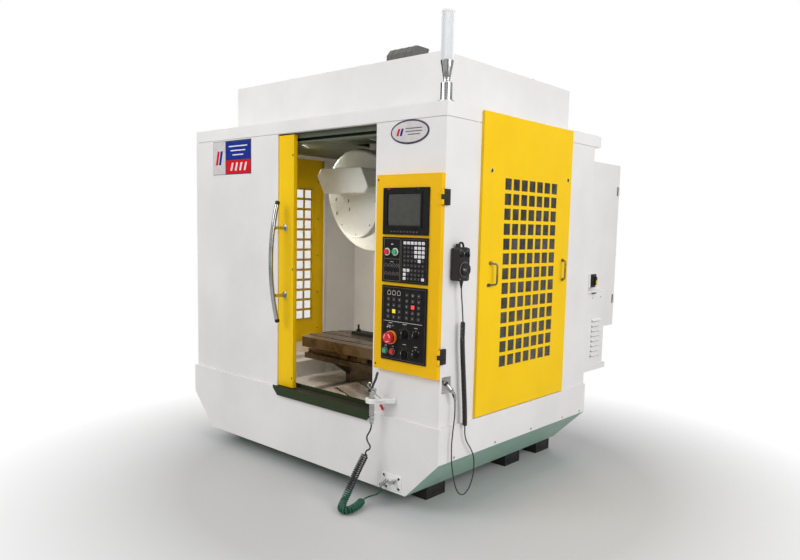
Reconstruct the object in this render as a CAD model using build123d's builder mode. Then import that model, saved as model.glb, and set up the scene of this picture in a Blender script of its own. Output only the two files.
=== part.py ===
from build123d import *
import math
import os

os.makedirs("parts", exist_ok=True)

# Vertical machining centre, all sizes in millimetres.
# X runs to the right seen from the front, the front looks to -Y, Z is up from the floor.

# Cabin
cabin_half = 1040
front_y = -805
back_y = 627
seam_z = 1922
sheet = 3
fit_gap = 0.3

# Base
base_half = 1055
base_front = -820
base_back = 624
base_top = 466
pan_top = 290
pan_bottom = 85
pan_sheet = 4
pan_slope_sheet = pan_sheet * math.sqrt(2)
pan_flat_half = base_half - (pan_top - pan_bottom)
flange_depth = 65
flange_side = 51

# Feet and anchor holes
foot_x = 745
foot_rows = (-540, 190, 540)
foot_width = 150
foot_depth = 155
foot_plate = 22
anchor_r = 12

# Bed and the Y guides
bed_half = 420
bed_front = -600
bed_back = 600
bed_top = 360
bed_wall = 30
rail_width = 34
rail_height = 25
y_rail_x = 150
y_rail_start = -330
y_rail_end = 325
screw_r = 16
run_fit = 0.05
y_screw_z = 390

# Saddle and the X guides
saddle_half = 215
saddle_front = -230
saddle_back = -40
saddle_low = 405
deck_half = 452
deck_front = -380
deck_low = 545
deck_top = 580
block_width = 70
x_rail_rows = (-342, -122)
x_screw_y = -232
x_screw_z = 606

# Telescopic way cover
cover_slope = math.radians(15)
cover_sheet = 2.6
cover_step = 3
cover_half = 225
cover_ridge = 445
skirt_low = 363

# Table
table_half = 455
table_front = -440
table_back = -25
table_low = 633
table_top = 698
slot_width = 18
slot_rows = (-357, -232, -107)

# Column, head and spindle
column_half = 230
column_front = 335
column_top = 1900
column_wall = 35
z_rail_x = 110
z_rail_low = 990
z_rail_high = 1830
spindle_y = -90
head_low = 1330
head_top = 1750
housing_r = 80
spindle_shaft_r = 40
nose_r = 50
nose_low = 1180

# Tool turret
dish_r = 313
dish_y = -308
dish_z = 1560
dish_tilt = math.radians(14.6)
dish_depth = 50
dish_wall = 4
shield_y = -369
shield_half = 198
shield_low = 1340
box_y = -490
axle_r = 24
drum_r = 215
gripper_r = 285
gripper_count = 16

# Door and front
door_left = -886
door_right = -56
door_front = -798
door_depth = 25
door_low = 473
door_top = 1913
opening_left = -190
opening_right = 595
handle_x = -134
handle_tube_r = 13
handle_posts = (1008, 1393)

# Control console
plate_left = 628
plate_low = 705
plate_top = 1666
plate_front = -830.5
plate_depth = 25
plate_sheet = 2.5
unit_front = -836.5
pin_x = cabin_half + 7
pin_y = -830
pin_r = 3
knuckle_r = 7

# Vent panels on both sides
vent_front = -535
vent_back = 331
vent_low = 471
vent_top = 1982
vent_outer = base_half
hole_side = 58
hole_pitch = 76
hole_columns = 7
hole_rows = 13
hole_y = -84
hole_z = 1188

# Cords
air_hose_r = 4
coil_r = 21
curl_r = 12.5
lead_r = 3.5
cord_x = cabin_half + 35


def block(x0, x1, y0, y1, z0, z1, mode=Mode.ADD):
    """Adds or cuts an upright block between two corners."""
    with Locations(((x0 + x1) / 2, (y0 + y1) / 2, (z0 + z1) / 2)):
        Box(x1 - x0, y1 - y0, z1 - z0, mode=mode)


def rod(start, axis, radius, length, mode=Mode.ADD):
    """Adds or cuts a round bar that starts at a point and runs along an axis."""
    with BuildSketch(Plane(origin=start, z_dir=axis)) as section:
        Circle(radius)
    extrude(section.sketch, amount=length, mode=mode)


def front_shape(y, depth, points, mode=Mode.ADD):
    """Extrudes an outline drawn in X and Z from the plane at y towards the back."""
    with BuildSketch(Plane.XZ.offset(-y)) as section:
        with BuildLine():
            Polyline(*points, close=True)
        make_face()
    extrude(section.sketch, amount=-depth, mode=mode)


def side_shape(x, depth, points, mode=Mode.ADD):
    """Extrudes an outline drawn in Y and Z from the plane at x towards the right."""
    with BuildSketch(Plane.YZ.offset(x)) as section:
        with BuildLine():
            Polyline(*points, close=True)
        make_face()
    extrude(section.sketch, amount=depth, mode=mode)


def run_radii(points):
    """Gives each inner corner 0.45 of its shorter run over the tangent of half the turn."""
    radii = []
    for before, here, after in zip(points, points[1:], points[2:]):
        first = Vector(*here) - Vector(*before)
        second = Vector(*after) - Vector(*here)
        turn = math.radians(first.get_angle(second))
        radii.append(0.45 * min(first.length, second.length) / math.tan(turn / 2))
    return radii


def tube(points, radius, bends=None, mode=Mode.ADD):
    """Sweeps a round section along straight runs joined by tangent arcs."""
    radii = bends or run_radii(points)
    with BuildLine() as path:
        FilletPolyline(*points, radius=radii)
    start = Vector(*points[0])
    with BuildSketch(Plane(origin=start, z_dir=Vector(*points[1]) - start)) as section:
        Circle(radius)
    wire = path.wires()[0]
    sweep(section.sketch, path=wire, mode=mode)
    print("tube length", round(wire.length, 1), "radii", [round(r) for r in radii])
    return wire.length


def bow_tube(points, radius):
    """Sweeps a round section along an arc through three points."""
    with BuildLine() as path:
        ThreePointArc(*points)
    wire = path.wires()[0]
    with BuildSketch(Plane(origin=wire @ 0, z_dir=wire % 0)) as section:
        Circle(radius)
    sweep(section.sketch, path=wire)


# White skirt of the base: hexagonal end plates, upright sides and an inner flange
skirt_outline = (
    (-base_half, base_top),
    (base_half, base_top),
    (base_half, pan_top),
    (pan_flat_half, pan_bottom),
    (-pan_flat_half, pan_bottom),
    (-base_half, pan_top),
)
with BuildPart() as base_skirt:
    front_shape(base_front, pan_sheet, skirt_outline)
    front_shape(base_back - pan_sheet, pan_sheet, skirt_outline)
    for side in (-1, 1):
        edge = side * (base_half - pan_sheet / 2)
        half = pan_sheet / 2
        block(edge - half, edge + half, base_front, base_back, pan_top, base_top)
    flange_x = base_half - pan_sheet
    inner_x = flange_x - flange_side
    front_in = base_front + pan_sheet
    back_in = base_back - pan_sheet
    low = base_top - pan_sheet
    block(-flange_x, flange_x, front_in, front_in + flange_depth, low, base_top)
    block(-flange_x, flange_x, back_in - 16, back_in, low, base_top)
    block(-flange_x, -inner_x, front_in, back_in, low, base_top)
    block(inner_x, flange_x, front_in, back_in, low, base_top)
base_skirt.part.label = "base_skirt"

# Coolant and chip pan with the sloped green sides
with BuildPart() as sump_pan:
    front_shape(
        front_in,
        back_in - front_in,
        (
            (-base_half, pan_top),
            (base_half, pan_top),
            (pan_flat_half, pan_bottom),
            (-pan_flat_half, pan_bottom),
        ),
    )
    front_shape(
        front_in + pan_sheet,
        back_in - front_in - 2 * pan_sheet,
        (
            (-base_half + pan_slope_sheet, pan_top),
            (base_half - pan_slope_sheet, pan_top),
            (pan_flat_half + pan_sheet - pan_slope_sheet, pan_bottom + pan_sheet),
            (-pan_flat_half - pan_sheet + pan_slope_sheet, pan_bottom + pan_sheet),
        ),
        Mode.SUBTRACT,
    )
sump_pan.part.label = "sump_pan"

# Six levelling feet, each a box open at its outer end with an anchor hole in its lower plate
with BuildPart() as levelling_feet:
    for side in (-1, 1):
        for y in foot_rows:
            x = side * foot_x
            fx = foot_width / 2
            fy = foot_depth / 2
            block(x - fx, x + fx, y - fy, y + fy, 0, pan_bottom)
            web = 52
            open_low = min(x - side * (fx - web), x + side * (fx + 1))
            open_high = max(x - side * (fx - web), x + side * (fx + 1))
            top_plate = pan_bottom - 20
            cheek = 10
            block(
                open_low, open_high, y - fy + cheek, y + fy - cheek, foot_plate, top_plate, Mode.SUBTRACT
            )
            rod((x, y, -1), (0, 0, 1), anchor_r, foot_plate + 2, Mode.SUBTRACT)
levelling_feet.part.label = "levelling_feet"

# Cast bed on the pan floor, with the Y guide rails, the Y ball screw and its servo motor
bed_low = pan_bottom + pan_sheet
with BuildPart() as machine_bed:
    block(-bed_half, bed_half, bed_front, bed_back, bed_low, bed_top)
    cells = 4
    cell_length = (bed_back - bed_front - bed_wall * (cells + 1)) / cells
    for cell in range(cells):
        y0 = bed_front + bed_wall + cell * (cell_length + bed_wall)
        for side in (-1, 1):
            x0 = bed_wall / 2
            x1 = bed_half - bed_wall
            block(
                min(side * x0, side * x1),
                max(side * x0, side * x1),
                y0,
                y0 + cell_length,
                bed_low,
                bed_top - bed_wall,
                Mode.SUBTRACT,
            )
    rail_top = bed_top + rail_height
    for side in (-1, 1):
        x = side * y_rail_x
        rw = rail_width / 2
        block(x - rw, x + rw, y_rail_start, y_rail_end, bed_top, rail_top)
        for edge in (-1, 1):
            xe = x + edge * rw
            block(xe - 4, xe + 4, y_rail_start, y_rail_end, bed_top + 8, rail_top - 7, Mode.SUBTRACT)
    rod((0, y_rail_start - 30, y_screw_z), (0, 1, 0), screw_r, y_rail_end - y_rail_start + 30)
    block(-35, 35, y_rail_start - 32, y_rail_start - 6, bed_top, 420)
    block(-35, 35, 308, y_rail_end + 5, bed_top, 420)
    block(-30, 30, y_rail_start - 132, y_rail_start - 32, bed_top, 420)
machine_bed.part.label = "machine_bed"

# Saddle on four guide blocks, with the X rails, the X ball screw and its servo motor
with BuildPart() as saddle:
    block(-saddle_half, saddle_half, saddle_front, saddle_back, saddle_low, deck_low)
    block(-deck_half, deck_half, deck_front, saddle_back, deck_low, deck_top)
    block(-100, 100, saddle_front + 15, saddle_back - 15, saddle_low, 520, Mode.SUBTRACT)
    rod((0, saddle_front - 1, y_screw_z), (0, 1, 0), screw_r + 4, 195, Mode.SUBTRACT)
    block(-40, 40, -180, -90, y_screw_z - 22, 525)
    rod((0, -185, y_screw_z), (0, 1, 0), screw_r + run_fit, 100, Mode.SUBTRACT)
    for side in (-1, 1):
        x = side * y_rail_x
        bw = block_width / 2
        for y0 in (saddle_front, saddle_back - 80):
            block(x - bw, x + bw, y0, y0 + 80, bed_top + 5, saddle_low)
        groove = rail_width / 2 + fit_gap
        block(
            x - groove,
            x + groove,
            saddle_front,
            saddle_back,
            bed_top,
            bed_top + rail_height + fit_gap,
            Mode.SUBTRACT,
        )
        side_shape(
            side * 190 - 10,
            20,
            ((saddle_front, 455), (deck_front + 10, deck_low), (saddle_front, deck_low)),
        )
    for y in x_rail_rows:
        rw = rail_width / 2
        block(-deck_half + 10, deck_half - 10, y - rw, y + rw, deck_top, deck_top + rail_height)
        for edge in (-1, 1):
            ye = y + edge * rw
            block(
                -deck_half, deck_half, ye - 4, ye + 4, deck_top + 8, deck_top + 18, Mode.SUBTRACT
            )
    rod((-440, x_screw_y, x_screw_z), (1, 0, 0), screw_r, 888)
    for x0 in (-448, 420):
        block(x0, x0 + 28, x_screw_y - 30, x_screw_y + 30, deck_top, table_low - 5)
    block(448, 560, x_screw_y - 24, x_screw_y + 24, deck_top, table_low - 5)
saddle.part.label = "saddle"


def gable(half, ridge, y0, y1, low):
    """Folds one segment of the way cover: a gable roof with upright skirts."""
    drop = half * math.tan(cover_slope)
    roof = cover_sheet / math.cos(cover_slope)
    inner = half - cover_sheet
    inner_drop = inner * math.tan(cover_slope)
    front_shape(
        y0,
        y1 - y0,
        (
            (-half, low),
            (-half, ridge - drop),
            (0, ridge),
            (half, ridge - drop),
            (half, low),
            (inner, low),
            (inner, ridge - roof - inner_drop),
            (0, ridge - roof),
            (-inner, ridge - roof - inner_drop),
            (-inner, low),
        ),
    )


with BuildPart() as saddle_cover:
    gable(cover_half, cover_ridge, -332, saddle_front, skirt_low)
saddle_cover.part.label = "saddle_cover"

with BuildPart() as cover_outer:
    gable(cover_half - cover_step, cover_ridge - cover_step, -524, -254, skirt_low)
cover_outer.part.label = "cover_outer"

with BuildPart() as cover_middle:
    gable(cover_half - 2 * cover_step, cover_ridge - 2 * cover_step, -690, -420, skirt_low)
cover_middle.part.label = "cover_middle"

with BuildPart() as cover_inner:
    gable(cover_half - 3 * cover_step, cover_ridge - 3 * cover_step, -770, -460, bed_top)
cover_inner.part.label = "cover_inner"

# T-slotted table with clipped corners, its guide blocks and the X nut
with BuildPart() as table:
    corner_x = 50
    corner_y = 110
    with BuildSketch(Plane.XY.offset(table_low)):
        with BuildLine():
            Polyline(
                (-table_half, table_front + corner_y),
                (-table_half + corner_x, table_front),
                (table_half - corner_x, table_front),
                (table_half, table_front + corner_y),
                (table_half, table_back - corner_y),
                (table_half - corner_x, table_back),
                (-table_half + corner_x, table_back),
                (-table_half, table_back - corner_y),
                close=True,
            )
        make_face()
    extrude(amount=table_top - table_low)
    for y in slot_rows:
        sw = slot_width / 2
        block(-table_half, table_half, y - sw, y + sw, table_top - 16, table_top, Mode.SUBTRACT)
        block(-table_half, table_half, y - 15, y + 15, table_top - 28, table_top - 16, Mode.SUBTRACT)
    for y in x_rail_rows:
        bw = block_width / 2
        for x in (-85, 85):
            block(x - 40, x + 40, y - bw, y + bw, deck_top + 6, table_low)
        groove = rail_width / 2 + fit_gap
        block(
            -130,
            130,
            y - groove,
            y + groove,
            deck_top,
            deck_top + rail_height + fit_gap,
            Mode.SUBTRACT,
        )
    block(-40, 40, x_screw_y - 30, x_screw_y + 30, deck_top + 6, table_low)
    rod((-41, x_screw_y, x_screw_z), (1, 0, 0), screw_r + run_fit, 82, Mode.SUBTRACT)
table.part.label = "table"

# Work clamp left on the table: a black strap with two studs and nuts
with BuildPart() as fixture_plate:
    block(-250, 120, -150, -70, table_top, table_top + 22)
    for x in (-225, -65, 95):
        rod((x, -110, table_top + 22), (0, 0, 1), 14, 14)
        rod((x, -110, table_top + 36), (0, 0, 1), 7, 30)
fixture_plate.part.label = "fixture_plate"

# Column with the Z rails, the Z ball screw and its servo motor
with BuildPart() as column:
    block(-column_half, column_half, column_front, bed_back, bed_top, column_top)
    block(-255, 255, column_front, bed_back, bed_top, bed_top + 40)
    wall = column_wall
    bay = (column_top - bed_top - wall * 5) / 4
    for level in range(4):
        z0 = bed_top + wall + level * (bay + wall)
        block(
            -column_half + wall,
            column_half - wall,
            column_front + wall,
            bed_back - wall,
            z0,
            z0 + bay,
            Mode.SUBTRACT,
        )
    for side in (-1, 1):
        x = side * z_rail_x
        rw = rail_width / 2
        rail_y = column_front - rail_height
        block(x - rw, x + rw, rail_y, column_front, z_rail_low, z_rail_high)
        for edge in (-1, 1):
            xe = x + edge * rw
            block(xe - 4, xe + 4, rail_y + 7, rail_y + 17, z_rail_low, z_rail_high, Mode.SUBTRACT)
    z_screw_y = 312
    rod((0, z_screw_y, 950), (0, 0, 1), screw_r, 920)
    block(-38, 38, 289, column_front, 940, 975)
    block(-38, 38, 289, column_front, 1845, column_top)
    block(-40, 40, 270, 350, column_top, column_top + 110)
column.part.label = "column"

# Spindle head with its guide blocks, Z nut and spindle motor
with BuildPart() as head_casting:
    back_plate = 289
    block(-150, 150, 249, back_plate, head_low, head_top)
    block(-110, 110, spindle_y, 250, 1400, head_top)
    rod((0, spindle_y, 1300), (0, 0, 1), housing_r, head_top - 1300)
    rod((0, spindle_y, 1230), (0, 0, 1), 62, 71)
    side_shape(-60, 120, ((spindle_y, 1400), (249, 1400), (249, head_low)))
    for side in (-1, 1):
        x = side * z_rail_x
        bw = block_width / 2
        for z0 in (head_low, head_top - 100):
            block(x - bw, x + bw, back_plate, column_front - 4, z0, z0 + 100)
        groove = rail_width / 2 + fit_gap
        block(
            x - groove,
            x + groove,
            column_front - rail_height - fit_gap,
            column_front,
            head_low - 1,
            head_top + 1,
            Mode.SUBTRACT,
        )
    block(-37, 37, back_plate, column_front - 4, 1480, 1580)
    rod((0, z_screw_y, 1470), (0, 0, 1), screw_r + run_fit, 120, Mode.SUBTRACT)
    rod((0, spindle_y, 1220), (0, 0, 1), spindle_shaft_r + run_fit, 181, Mode.SUBTRACT)
    block(-85, 85, spindle_y - 85, spindle_y + 85, head_top, 2130)
head_casting.part.label = "head_casting"

# Rotating spindle with its tapered tool socket
with BuildPart() as spindle:
    rod((0, spindle_y, nose_low), (0, 0, 1), nose_r, 1230 - fit_gap - nose_low)
    rod((0, spindle_y, nose_low), (0, 0, 1), spindle_shaft_r, 1400 - nose_low)
    with Locations((0, spindle_y, nose_low + 35)):
        Cone(22, 13, 70, mode=Mode.SUBTRACT)
    for side in (-1, 1):
        x = side * (nose_r - 8)
        block(x - 9, x + 9, spindle_y - 8, spindle_y + 8, nose_low, nose_low + 8, Mode.SUBTRACT)
spindle.part.label = "spindle"

# Turret carrier: two arms past the head, a cross bar, a hanger and the fixed axle
toward_back = Vector(0, math.cos(dish_tilt), math.sin(dish_tilt))
dish_centre = Vector(0, dish_y, dish_z)
hub_plane = Plane(origin=dish_centre, x_dir=(1, 0, 0), z_dir=toward_back)
with BuildPart() as turret_arm:
    for side in (-1, 1):
        x = side * 175
        block(x - 20, x + 20, -285, column_front, 1790, 1870)
    block(-195, 195, -285, -239, 1790, 1870)
    block(-60, 60, -240, -212, 1520, 1870)
    rod(dish_centre + toward_back * dish_wall, toward_back, axle_r, 74)
    rod(dish_centre + toward_back * 52, toward_back, 45, 20)
turret_arm.part.label = "turret_arm"

# White moulded cover of the turret: dish, tongue-shaped shield and the six-sided box
with BuildPart() as turret_cover:
    rod(dish_centre, toward_back, dish_r, dish_depth)
    with BuildSketch(Plane.XZ.offset(-shield_y)) as tongue:
        with Locations((0, dish_z)):
            Ellipse(shield_half, dish_z - shield_low)
        with Locations((0, dish_z + 70)):
            Rectangle(2 * shield_half, 140)
    extrude(tongue.sketch, amount=-140)
    front_shape(
        box_y,
        shield_y - box_y + 1,
        ((-219, 1709), (-185, 1752), (161, 1752), (220, 1638), (193, 1603), (-157, 1603)),
    )
    with BuildSketch(Plane.XZ.offset(-shield_y - dish_wall)) as tongue_inside:
        with Locations((0, dish_z)):
            Ellipse(shield_half - dish_wall, dish_z - shield_low - dish_wall)
        with Locations((0, dish_z + 70 - dish_wall)):
            Rectangle(2 * (shield_half - dish_wall), 140)
    extrude(tongue_inside.sketch, amount=-180, mode=Mode.SUBTRACT)
    front_shape(
        box_y + dish_wall,
        shield_y - box_y + 2 * dish_wall,
        ((-208, 1708), (-183, 1744), (158, 1744), (210, 1640), (189, 1611), (-155, 1611)),
        Mode.SUBTRACT,
    )
    with Locations(hub_plane * Location((0, 0, dish_depth + 150))):
        Cylinder(600, 300, mode=Mode.SUBTRACT)
    rod(dish_centre, toward_back, dish_r, dish_wall)
    rod(
        dish_centre + toward_back * dish_wall,
        toward_back,
        dish_r - dish_wall,
        dish_depth,
        Mode.SUBTRACT,
    )
    for x, z in ((-172, 1575), (-66, 1565), (-55, 1514), (-168, 1490)):
        block(x - 5, x + 5, shield_y - 5, shield_y + 20, z - 10, z + 10, Mode.SUBTRACT)
turret_cover.part.label = "turret_cover"

# Turret drum with sixteen tool grippers around it
with BuildPart() as turret_drum:
    rod(dish_centre + toward_back * 14, toward_back, drum_r, 26)
    rod(dish_centre + toward_back * 12, toward_back, 60, 38)
    for number in range(gripper_count):
        spoke = hub_plane * Location((0, 0, 0), (0, 0, number * 360 / gripper_count))
        with Locations(spoke * Location(((drum_r + gripper_r) / 2 - 10, 0, 27))):
            Box(gripper_r - drum_r + 20, 34, 18)
        with Locations(spoke * Location((gripper_r - 14, 0, 27))):
            Box(30, 20, 20, mode=Mode.SUBTRACT)
    rod(dish_centre, toward_back, axle_r + run_fit, 80, Mode.SUBTRACT)
turret_drum.part.label = "turret_drum"

# Stepped chip guards inside the cabin, left and right of the bed
guard_front = -742
with BuildPart() as chip_guards:
    for side in (-1, 1):
        for x0, x1, z0, z1 in (
            (231, 234, 363, 400),
            (231, 523, 397, 400),
            (520, 523, 397, 505),
            (520, 603, 502, 505),
            (600, 603, 502, 532),
            (600, cabin_half - sheet, 529, 532),
        ):
            low_x = min(side * x0, side * x1)
            high_x = max(side * x0, side * x1)
            block(low_x, high_x, guard_front, back_in - 16, z0, z1)
    block(-260, 260, y_rail_end, back_y, bed_top, 401, Mode.SUBTRACT)
chip_guards.part.label = "chip_guards"

# Green ceiling sheet with the box-shaped door track along its front edge
track_half = cabin_half - 40
track_front = -768
track_back = -700
track_low = 1868
roller_r = 16
roller_z = track_low + 2 + roller_r + fit_gap
with BuildPart() as ceiling_guard:
    block(-(cabin_half - 16), cabin_half - 16, track_front, 610, seam_z, seam_z + sheet)
    block(-190, 190, -215, 360, seam_z - 1, seam_z + sheet + 1, Mode.SUBTRACT)
    block(-track_half, track_half, track_front, track_back, track_low, seam_z)
    block(
        -track_half, track_half, track_front + 2, track_back - 2, track_low + 2, seam_z - 2, Mode.SUBTRACT
    )
    block(
        -track_half + 60,
        track_half - 60,
        track_front - 1,
        track_front + 3,
        roller_z - 8,
        roller_z + 8,
        Mode.SUBTRACT,
    )
ceiling_guard.part.label = "ceiling_guard"

# Cabin walls: both sides with their big openings, the back and the connector pocket
with BuildPart() as cabin_shell:
    inner = cabin_half - sheet
    for side in (-1, 1):
        x0 = min(side * inner, side * cabin_half)
        x1 = max(side * inner, side * cabin_half)
        block(x0, x1, front_y + sheet, back_y, base_top, seam_z)
        block(x0 - 1, x1 + 1, -495, 287, 500, 1900, Mode.SUBTRACT)
        lip0 = min(side * (cabin_half - 40), side * inner)
        lip1 = max(side * (cabin_half - 40), side * inner)
        block(lip0, lip1, front_y + sheet, back_y - sheet, seam_z - sheet, seam_z)
    block(-cabin_half, cabin_half, back_y - sheet, back_y, base_top, seam_z)
    block(-inner, inner, bed_back - 10, back_y - sheet, seam_z - sheet, seam_z)
    pocket = (-790, -722, 630, 711)
    block(cabin_half - 55, inner, pocket[0] - 2, pocket[1] + 2, pocket[2] - 2, pocket[3] + 2)
    block(cabin_half - 53, cabin_half + 1, pocket[0], pocket[1], pocket[2], pocket[3], Mode.SUBTRACT)
cabin_shell.part.label = "cabin_shell"

# Removable vent panels: folded trays with a field of square holes
vent_inner = cabin_half
with BuildPart() as vent_panels:
    for side in (-1, 1):
        face_x = vent_outer - 2 if side > 0 else -vent_outer
        x0 = min(side * vent_inner, side * vent_outer)
        x1 = max(side * vent_inner, side * vent_outer)
        block(x0, x1, vent_front, vent_back, vent_low, vent_top)
        in0 = min(side * (vent_inner - 1), side * (vent_outer - 2))
        in1 = max(side * (vent_inner - 1), side * (vent_outer - 2))
        block(in0, in1, vent_front + 2, vent_back - 2, vent_low + 2, vent_top - 2, Mode.SUBTRACT)
        with BuildSketch(Plane.YZ.offset(face_x)) as holes:
            with Locations((hole_y, hole_z)):
                with GridLocations(hole_pitch, hole_pitch, hole_columns, hole_rows):
                    Rectangle(hole_side, hole_side)
        extrude(holes.sketch, amount=2, mode=Mode.SUBTRACT)
vent_panels.part.label = "vent_panels"

# Clear panes behind the vent holes
pane_y = hole_columns * hole_pitch / 2 + 5
pane_z = hole_rows * hole_pitch / 2 + 6
with BuildPart() as vent_panes:
    for side in (-1, 1):
        x0 = min(side * (vent_outer - 5), side * (vent_outer - 2))
        block(x0, x0 + 3, hole_y - pane_y, hole_y + pane_y, hole_z - pane_z, hole_z + pane_z)
vent_panes.part.label = "vent_panes"

# Four bow handles on the vent panels
with BuildPart() as pull_handles:
    for side in (-1, 1):
        for y, lean in ((-452, 1), (275, -1)):
            x0 = side * vent_outer
            x1 = side * (vent_outer + 30)
            points = (
                (x0, y, 1135),
                (x1, y + lean * 24, 1140),
                (x1, y + lean * 24, 1241),
                (x0, y, 1246),
            )
            tube(points, 5, bends=(12, 12))
            for z in (1135, 1246):
                rod((x0, y, z), (side, 0, 0), 9, 3)
    block(-vent_outer, vent_outer, vent_front, vent_back, 1100, 1300, Mode.SUBTRACT)
pull_handles.part.label = "pull_handles"

# Roof rim: a box ring with a recessed neck that makes the shadow seam
rim_back = 703
hood_half = 852
hood_front = -617
hood_back = 625
rim_top = 1992
with BuildPart() as roof_rim:
    low = seam_z + sheet
    block(-cabin_half, cabin_half, front_y, rim_back, low, rim_top)
    block(
        -cabin_half + sheet,
        cabin_half - sheet,
        front_y + sheet,
        rim_back - sheet,
        low + sheet,
        rim_top - sheet,
        Mode.SUBTRACT,
    )
    block(-hood_half + 12, hood_half - 12, hood_front + 12, hood_back - 12, low, rim_top, Mode.SUBTRACT)
    block(-(cabin_half - 35), cabin_half - 35, -765, 600, low - 1, low + sheet, Mode.SUBTRACT)
    block(-(cabin_half - 6), cabin_half - 6, front_y + 6, back_y - 6, seam_z, low)
    block(
        -(cabin_half - 12),
        cabin_half - 12,
        front_y + 12,
        back_y - 12,
        seam_z - 1,
        low,
        Mode.SUBTRACT,
    )
roof_rim.part.label = "roof_rim"

# Top hood over the head, with the low vent duct on it
hood_top = 2273
with BuildPart() as top_hood:
    block(-hood_half, hood_half, hood_front, hood_back, rim_top, hood_top)
    block(
        -hood_half + sheet,
        hood_half - sheet,
        hood_front + sheet,
        hood_back - sheet,
        rim_top,
        hood_top - sheet,
        Mode.SUBTRACT,
    )
    side_shape(
        470,
        186,
        ((-612, hood_top), (-612, 2300), (-585, 2330), (-500, 2330), (-500, hood_top)),
    )
    block(472, 654, -583, -502, hood_top, 2328, Mode.SUBTRACT)
top_hood.part.label = "top_hood"

# Left front panel, in front of the parked door
with BuildPart() as left_front_panel:
    block(-cabin_half, opening_left, front_y, front_y + sheet, base_top, seam_z)
    block(opening_left - 3, opening_left, front_y, -799.5, base_top, seam_z)
    block(-(cabin_half - 40), opening_left, front_y + sheet, -790, seam_z - sheet, seam_z)
left_front_panel.part.label = "left_front_panel"

# Right front panel with the console cut-out, its rear box and the air gun bracket
console = (660, 1000, 735, 1630)
gun_x = 668
gun_y = -880
gun_r = 12
bracket_z = 553
with BuildPart() as right_front_panel:
    block(opening_right, cabin_half, front_y, front_y + sheet, base_top, seam_z)
    block(console[0] - 10, console[1] + 10, front_y + sheet, -745, console[2] - 10, console[3] + 10)
    block(
        console[0] - 8,
        console[1] + 8,
        front_y + sheet,
        -747,
        console[2] - 8,
        console[3] + 8,
        Mode.SUBTRACT,
    )
    block(console[0], console[1], front_y - 1, front_y + 4, console[2], console[3], Mode.SUBTRACT)
    block(opening_right + 5, cabin_half - 41, front_y + sheet, -790, seam_z - sheet, seam_z)
    with BuildSketch(Plane.XY.offset(bracket_z)) as fork:
        with BuildLine():
            Polyline(
                (764, front_y),
                (720, gun_y + 4),
                (690, -905),
                (650, -905),
                (636, -890),
                (636, -868),
                (664, -840),
                (672, front_y),
                close=True,
            )
        make_face()
        with Locations((gun_x, gun_y)):
            Circle(gun_r + fit_gap, mode=Mode.SUBTRACT)
    extrude(fork.sketch, amount=6)
    block(668, 768, front_y - 3, front_y, 536, 577)
right_front_panel.part.label = "right_front_panel"

# Sliding door: folded leaf, window frame, guide tongue and roller hangers
with BuildPart() as sliding_door:
    rear = door_front + door_depth
    block(door_left, door_right, door_front, rear, door_low, door_top)
    block(door_left + 2, door_right - 2, door_front + 2, rear, door_low + 2, door_top - 2, Mode.SUBTRACT)
    window = (-780, -200, 800, 1700)
    block(window[0] - 20, window[1] + 20, door_front + 1, rear, window[2] - 20, window[3] + 20)
    block(window[0], window[1], door_front - 1, rear + 1, window[2], window[3], Mode.SUBTRACT)
    for x in (-760, -180):
        block(x - 40, x + 40, door_front + 1, rear + 3, 1830, roller_z + 6)
        rod((x, rear, roller_z), (0, 1, 0), 6, 36)
        rod((x, rear + 22, roller_z), (0, 1, 0), roller_r, 12)
sliding_door.part.label = "sliding_door"

with BuildPart() as door_window:
    block(-795, -185, rear, rear + 4, 785, 1715)
door_window.part.label = "door_window"

# Bow handle of the door: a curved chrome tube on two posts
bow_end_y = door_front - 52
bow_mid_y = door_front - 98
with BuildPart() as door_handle:
    bow_tube(
        (
            (handle_x, bow_end_y, 859),
            (handle_x, bow_mid_y, 1198.5),
            (handle_x, bow_end_y, 1538),
        ),
        handle_tube_r,
    )
    for z in handle_posts:
        rod((handle_x, door_front, z), (0, -1, 0), 8, 82)
        rod((handle_x, door_front, z), (0, -1, 0), 15, 8)
door_handle.part.label = "door_handle"

# Olive drip tray under the door opening
with BuildPart() as sill_tray:
    block(opening_left, opening_right, -838, -745, base_top, base_top + sheet)
    front_shape(
        -838,
        sheet,
        ((-190, 478), (622, 478), (622, 455), (590, 423), (-150, 423), (-190, 462)),
    )
    block(opening_left, opening_right, -748, -745, base_top, 492)
sill_tray.part.label = "sill_tray"

# Console plate: a folded yellow tray with three cut-outs and the moving hinge halves
units = (
    ("display", 680, 972, 1378, 1602),
    ("keys", 681, 973, 1146, 1366),
    ("operator", 684, 973, 762, 1130),
)
body_inset = 10
hinge_rows = (813, 1556.5)
hinge_height = 70
knuckle = (hinge_height - 2 * fit_gap) / 3
with BuildPart() as control_plate:
    plate_back = plate_front + plate_depth
    block(plate_left, cabin_half, plate_front, plate_back, plate_low, plate_top)
    block(
        plate_left + plate_sheet,
        cabin_half - plate_sheet,
        plate_front + plate_sheet,
        plate_back,
        plate_low + plate_sheet,
        plate_top - plate_sheet,
        Mode.SUBTRACT,
    )
    for name, x0, x1, z0, z1 in units:
        block(
            x0 + body_inset,
            x1 - body_inset,
            plate_front - 1,
            plate_back,
            z0 + body_inset,
            z1 - body_inset,
            Mode.SUBTRACT,
        )
    for z in hinge_rows:
        for place in (-1, 1):
            z0 = z + place * (knuckle + fit_gap) - knuckle / 2
            block(cabin_half - 28, pin_x, plate_front - 2.5, plate_front, z0, z0 + knuckle)
            rod((pin_x, pin_y, z0), (0, 0, 1), knuckle_r, knuckle)
            rod((pin_x, pin_y, z0 - 1), (0, 0, 1), pin_r + run_fit, knuckle + 2, Mode.SUBTRACT)
control_plate.part.label = "control_plate"

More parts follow.
